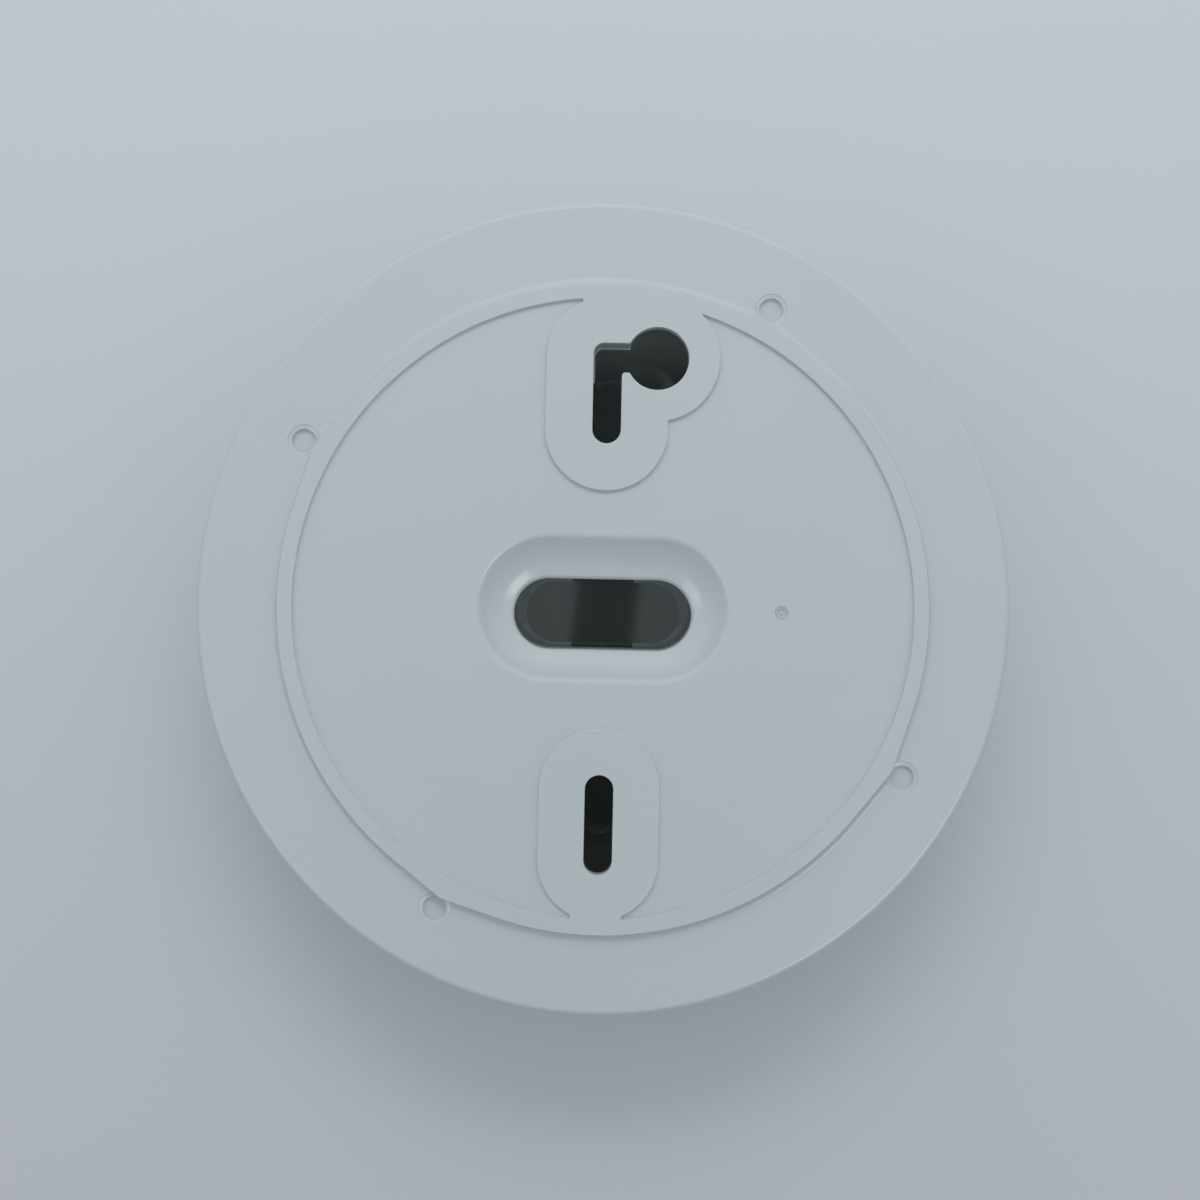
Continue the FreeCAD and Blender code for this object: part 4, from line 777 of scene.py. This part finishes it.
from_end = add_node(tree, "ShaderNodeVectorMath", {"operation": "LENGTH"},
                    i0=rounds.outputs["Vector"])
round_end = add_node(tree, "ShaderNodeMath", {"operation": "LESS_THAN"},
                     i0=from_end.outputs["Value"], i1=STRIP_HALF)
inner = add_node(tree, "ShaderNodeMath", {"operation": "LESS_THAN"}, i0=width.outputs[0],
                 i1=STRIP_MIDDLE)
painted_shadow_band = add_node(tree, "ShaderNodeMath", {"operation": "MAXIMUM"}, i0=round_end.outputs[0],
                 i1=inner.outputs[0])
within = add_node(tree, "ShaderNodeMath", {"operation": "LESS_THAN"}, i0=reach.outputs["Value"],
                  i1=PAINTED_LIGHT_RADIUS)
# painted shadow band across the cable entry, with painted light to either side of it
painted_band_and_pools = add_node(tree, "ShaderNodeMix", {"data_type": "RGBA"}, Factor=painted_shadow_band.outputs[0],
               i6=linear("DDE3E4"), i7=linear("727975"))
under = add_node(tree, "ShaderNodeMath", {"operation": "LESS_THAN"}, i0=reach.outputs["Value"],
                 i1=PAINTED_SHADE_RADIUS)
fade = add_node(tree, "ShaderNodeMapRange", Value=side.outputs["Y"], From_Min=KEY_FADE[0],
                From_Max=KEY_FADE[1])
low_end = add_node(tree, "ShaderNodeMapRange", Value=side.outputs["Y"], From_Min=SLOT_FADE[0],
                   From_Max=SLOT_FADE[1], To_Min=0.55, To_Max=0.1)
paler = add_node(tree, "ShaderNodeMath", {"operation": "MAXIMUM"}, i0=fade.outputs["Result"],
                 i1=low_end.outputs["Result"])
# painted shade under the base, paler towards the far ends of the keyhole and the slot as painted
# light
painted_shade_fade = add_node(tree, "ShaderNodeMix", {"data_type": "RGBA"}, Factor=paler.outputs[0],
                 i6=linear("7A817F"), i7=linear("F6F8F6"))
first = add_node(tree, "ShaderNodeMix", {"data_type": "RGBA"}, Factor=under.outputs[0])
tree.links.new(pale.outputs[2], first.inputs[6])
tree.links.new(painted_shade_fade.outputs[2], first.inputs[7])
painted_floor_colour = add_node(tree, "ShaderNodeMix", {"data_type": "RGBA"}, Factor=within.outputs[0])
tree.links.new(first.outputs[2], painted_floor_colour.inputs[6])
tree.links.new(painted_band_and_pools.outputs[2], painted_floor_colour.inputs[7])
tree.links.new(painted_floor_colour.outputs[2], shader.inputs["Base Color"])
board_floor.data.materials.append(laminate)

# soft room light, dimmer low down, towards the near side and in a ring round the bluish light
# overhead; the smooth board mirrors the part overhead, where a dark mast stands before a dark
# patch with a light middle. Places in it are slopes: how far to the side for each metre up.
MAST_X, MAST_HALF, MAST_LEAN = 0.0032, 0.0145, -0.1
LIGHT_HALF, PATCH_X, PATCH_Y = 0.06, 0.06, 0.17
HAZE = (0.09, 0.155)
world = bpy.data.worlds.new("studio_air")
world.use_nodes = True
tree = world.node_tree
place = add_node(tree, "ShaderNodeTexCoord").outputs["Generated"]
parts = add_node(tree, "ShaderNodeSeparateXYZ", Vector=place).outputs
room = add_node(tree, "ShaderNodeValToRGB", Fac=parts["Z"])
room.color_ramp.elements[0].position = 0.0
room.color_ramp.elements[0].color = (0.75, 0.75, 0.75, 1)
room.color_ramp.elements[1].position = 0.97
room.color_ramp.elements[1].color = (0.84, 0.97, 1.0, 1)
for position, level in ((0.40, 1.0), (0.70, 1.0), (0.88, 0.8)):
    room.color_ramp.elements.new(position).color = (level, level, level, 1)
across = add_node(tree, "ShaderNodeMath", {"operation": "DIVIDE"}, i0=parts["X"], i1=parts["Z"])
along = add_node(tree, "ShaderNodeMath", {"operation": "DIVIDE"}, i0=parts["Y"], i1=parts["Z"])
slant = add_node(tree, "ShaderNodeMath", {"operation": "MULTIPLY_ADD"}, i0=along.outputs[0],
                 i1=MAST_LEAN, i2=across.outputs[0])
mast = add_node(tree, "ShaderNodeMath", {"operation": "COMPARE"}, i0=slant.outputs[0], i1=MAST_X,
                i2=MAST_HALF)
near = add_node(tree, "ShaderNodeMath", {"operation": "COMPARE"}, i0=along.outputs[0], i1=0.0,
                i2=LIGHT_HALF)
beyond = add_node(tree, "ShaderNodeMath", {"operation": "SUBTRACT"}, i0=1.0, i1=near.outputs[0])
# the patch thins out towards its +X +Y corner, which shows in the keyhole's head
corner = add_node(tree, "ShaderNodeMath", {"operation": "ADD"}, i0=across.outputs[0],
                  i1=along.outputs[0])
haze = add_node(tree, "ShaderNodeMapRange", Value=corner.outputs[0], From_Min=HAZE[0],
                From_Max=HAZE[1], To_Min=1.0, To_Max=0.1)
veiled = add_node(tree, "ShaderNodeMath", {"operation": "MULTIPLY"}, i0=beyond.outputs[0],
                  i1=haze.outputs["Result"])
shut = add_node(tree, "ShaderNodeMath", {"operation": "MAXIMUM"}, i0=mast.outputs[0],
                i1=veiled.outputs[0])
deep = add_node(tree, "ShaderNodeMath", {"operation": "COMPARE"}, i0=along.outputs[0], i1=0.0,
                i2=PATCH_Y)
wide = add_node(tree, "ShaderNodeMath", {"operation": "COMPARE"}, i0=across.outputs[0], i1=0.0,
                i2=PATCH_X)
patch = add_node(tree, "ShaderNodeMath", {"operation": "MULTIPLY"}, i0=deep.outputs[0],
                 i1=wide.outputs[0])
clear = add_node(tree, "ShaderNodeMath", {"operation": "MULTIPLY"}, i0=shut.outputs[0],
                 i1=patch.outputs[0])
sky = add_node(tree, "ShaderNodeMix", {"data_type": "RGBA"}, Factor=clear.outputs[0])
sky.inputs[7].default_value = (0.08, 0.09, 0.085, 1)
near_side = add_node(tree, "ShaderNodeMapRange", Value=parts["Y"], From_Min=-0.75, From_Max=0.1,
                     To_Min=0.72, To_Max=1.02)
dimmed = add_node(tree, "ShaderNodeVectorMath", {"operation": "MULTIPLY"}, i0=room.outputs["Color"],
                  i1=near_side.outputs["Result"])
tree.links.new(dimmed.outputs["Vector"], sky.inputs[6])
back = tree.nodes["Background"]
back.inputs["Strength"].default_value = 0.64
seen = add_node(tree, "ShaderNodeLightPath").outputs["Is Camera Ray"]
tint = add_node(tree, "ShaderNodeMix", {"data_type": "RGBA"}, Factor=seen)
tree.links.new(sky.outputs[2], tint.inputs[6])
tint.inputs[7].default_value = (0.74, 0.79, 0.84, 1)
tree.links.new(tint.outputs[2], back.inputs["Color"])
scene.world = world


def lamp(name, place, aim, size, power, spread=180, mirrored=True, scattered=True):
    # a flat lamp in watts and metres, with or without a mirror image and a share in plain light
    light = bpy.data.lights.new(name, "AREA")
    light.spread = math.radians(spread)
    light.shape = "RECTANGLE"
    light.size, light.size_y = size
    light.energy = power
    made = bpy.data.objects.new(name, light)
    made.location = place
    made.rotation_euler = (Vector(aim) - Vector(place)).to_track_quat("-Z", "Y").to_euler()
    made.visible_glossy = mirrored
    made.visible_diffuse = scattered
    scene.collection.objects.link(made)
    return made


# the wide window on the far side gives the forms their soft shade and has no mirror image
lamp("lamp_window", (0.0, 0.44, 0.42), (0, 0.19, 0), (1.2, 0.34), 0.60, spread=60,
     mirrored=False)

# two small lamps on the near side draw thin bright lines along the edges that face them; the
# board doesn't mirror them
unlit = bpy.data.collections.new("not_lit_by_lamp_edge")
unlit.objects.link(board_floor)
unlit.collection_objects[0].light_linking.link_state = "EXCLUDE"
for number, place, power in ((1, (0.247, -0.247, 0.606), 0.65), (2, (-0.30, -0.20, 0.60), 0.32)):
    edge_light = lamp("lamp_edge_%d" % number, place, (0, 0, 0), (0.25, 0.14), power,
                      scattered=False)
    edge_light.light_linking.receiver_collection = unlit

# the camera looks straight down on the rear face, turned by a small angle
eye = bpy.data.cameras.new("camera")
eye.sensor_width = 36.0
eye.lens = 64.05
eye.clip_start = 0.01
view_point = bpy.data.objects.new("camera", eye)
view_point.location = (-0.00042, 0.00130, 0.328)
view_point.rotation_euler = (0, 0, math.radians(1.2))
scene.collection.objects.link(view_point)
scene.camera = view_point
scene.view_settings.view_transform = "Standard"
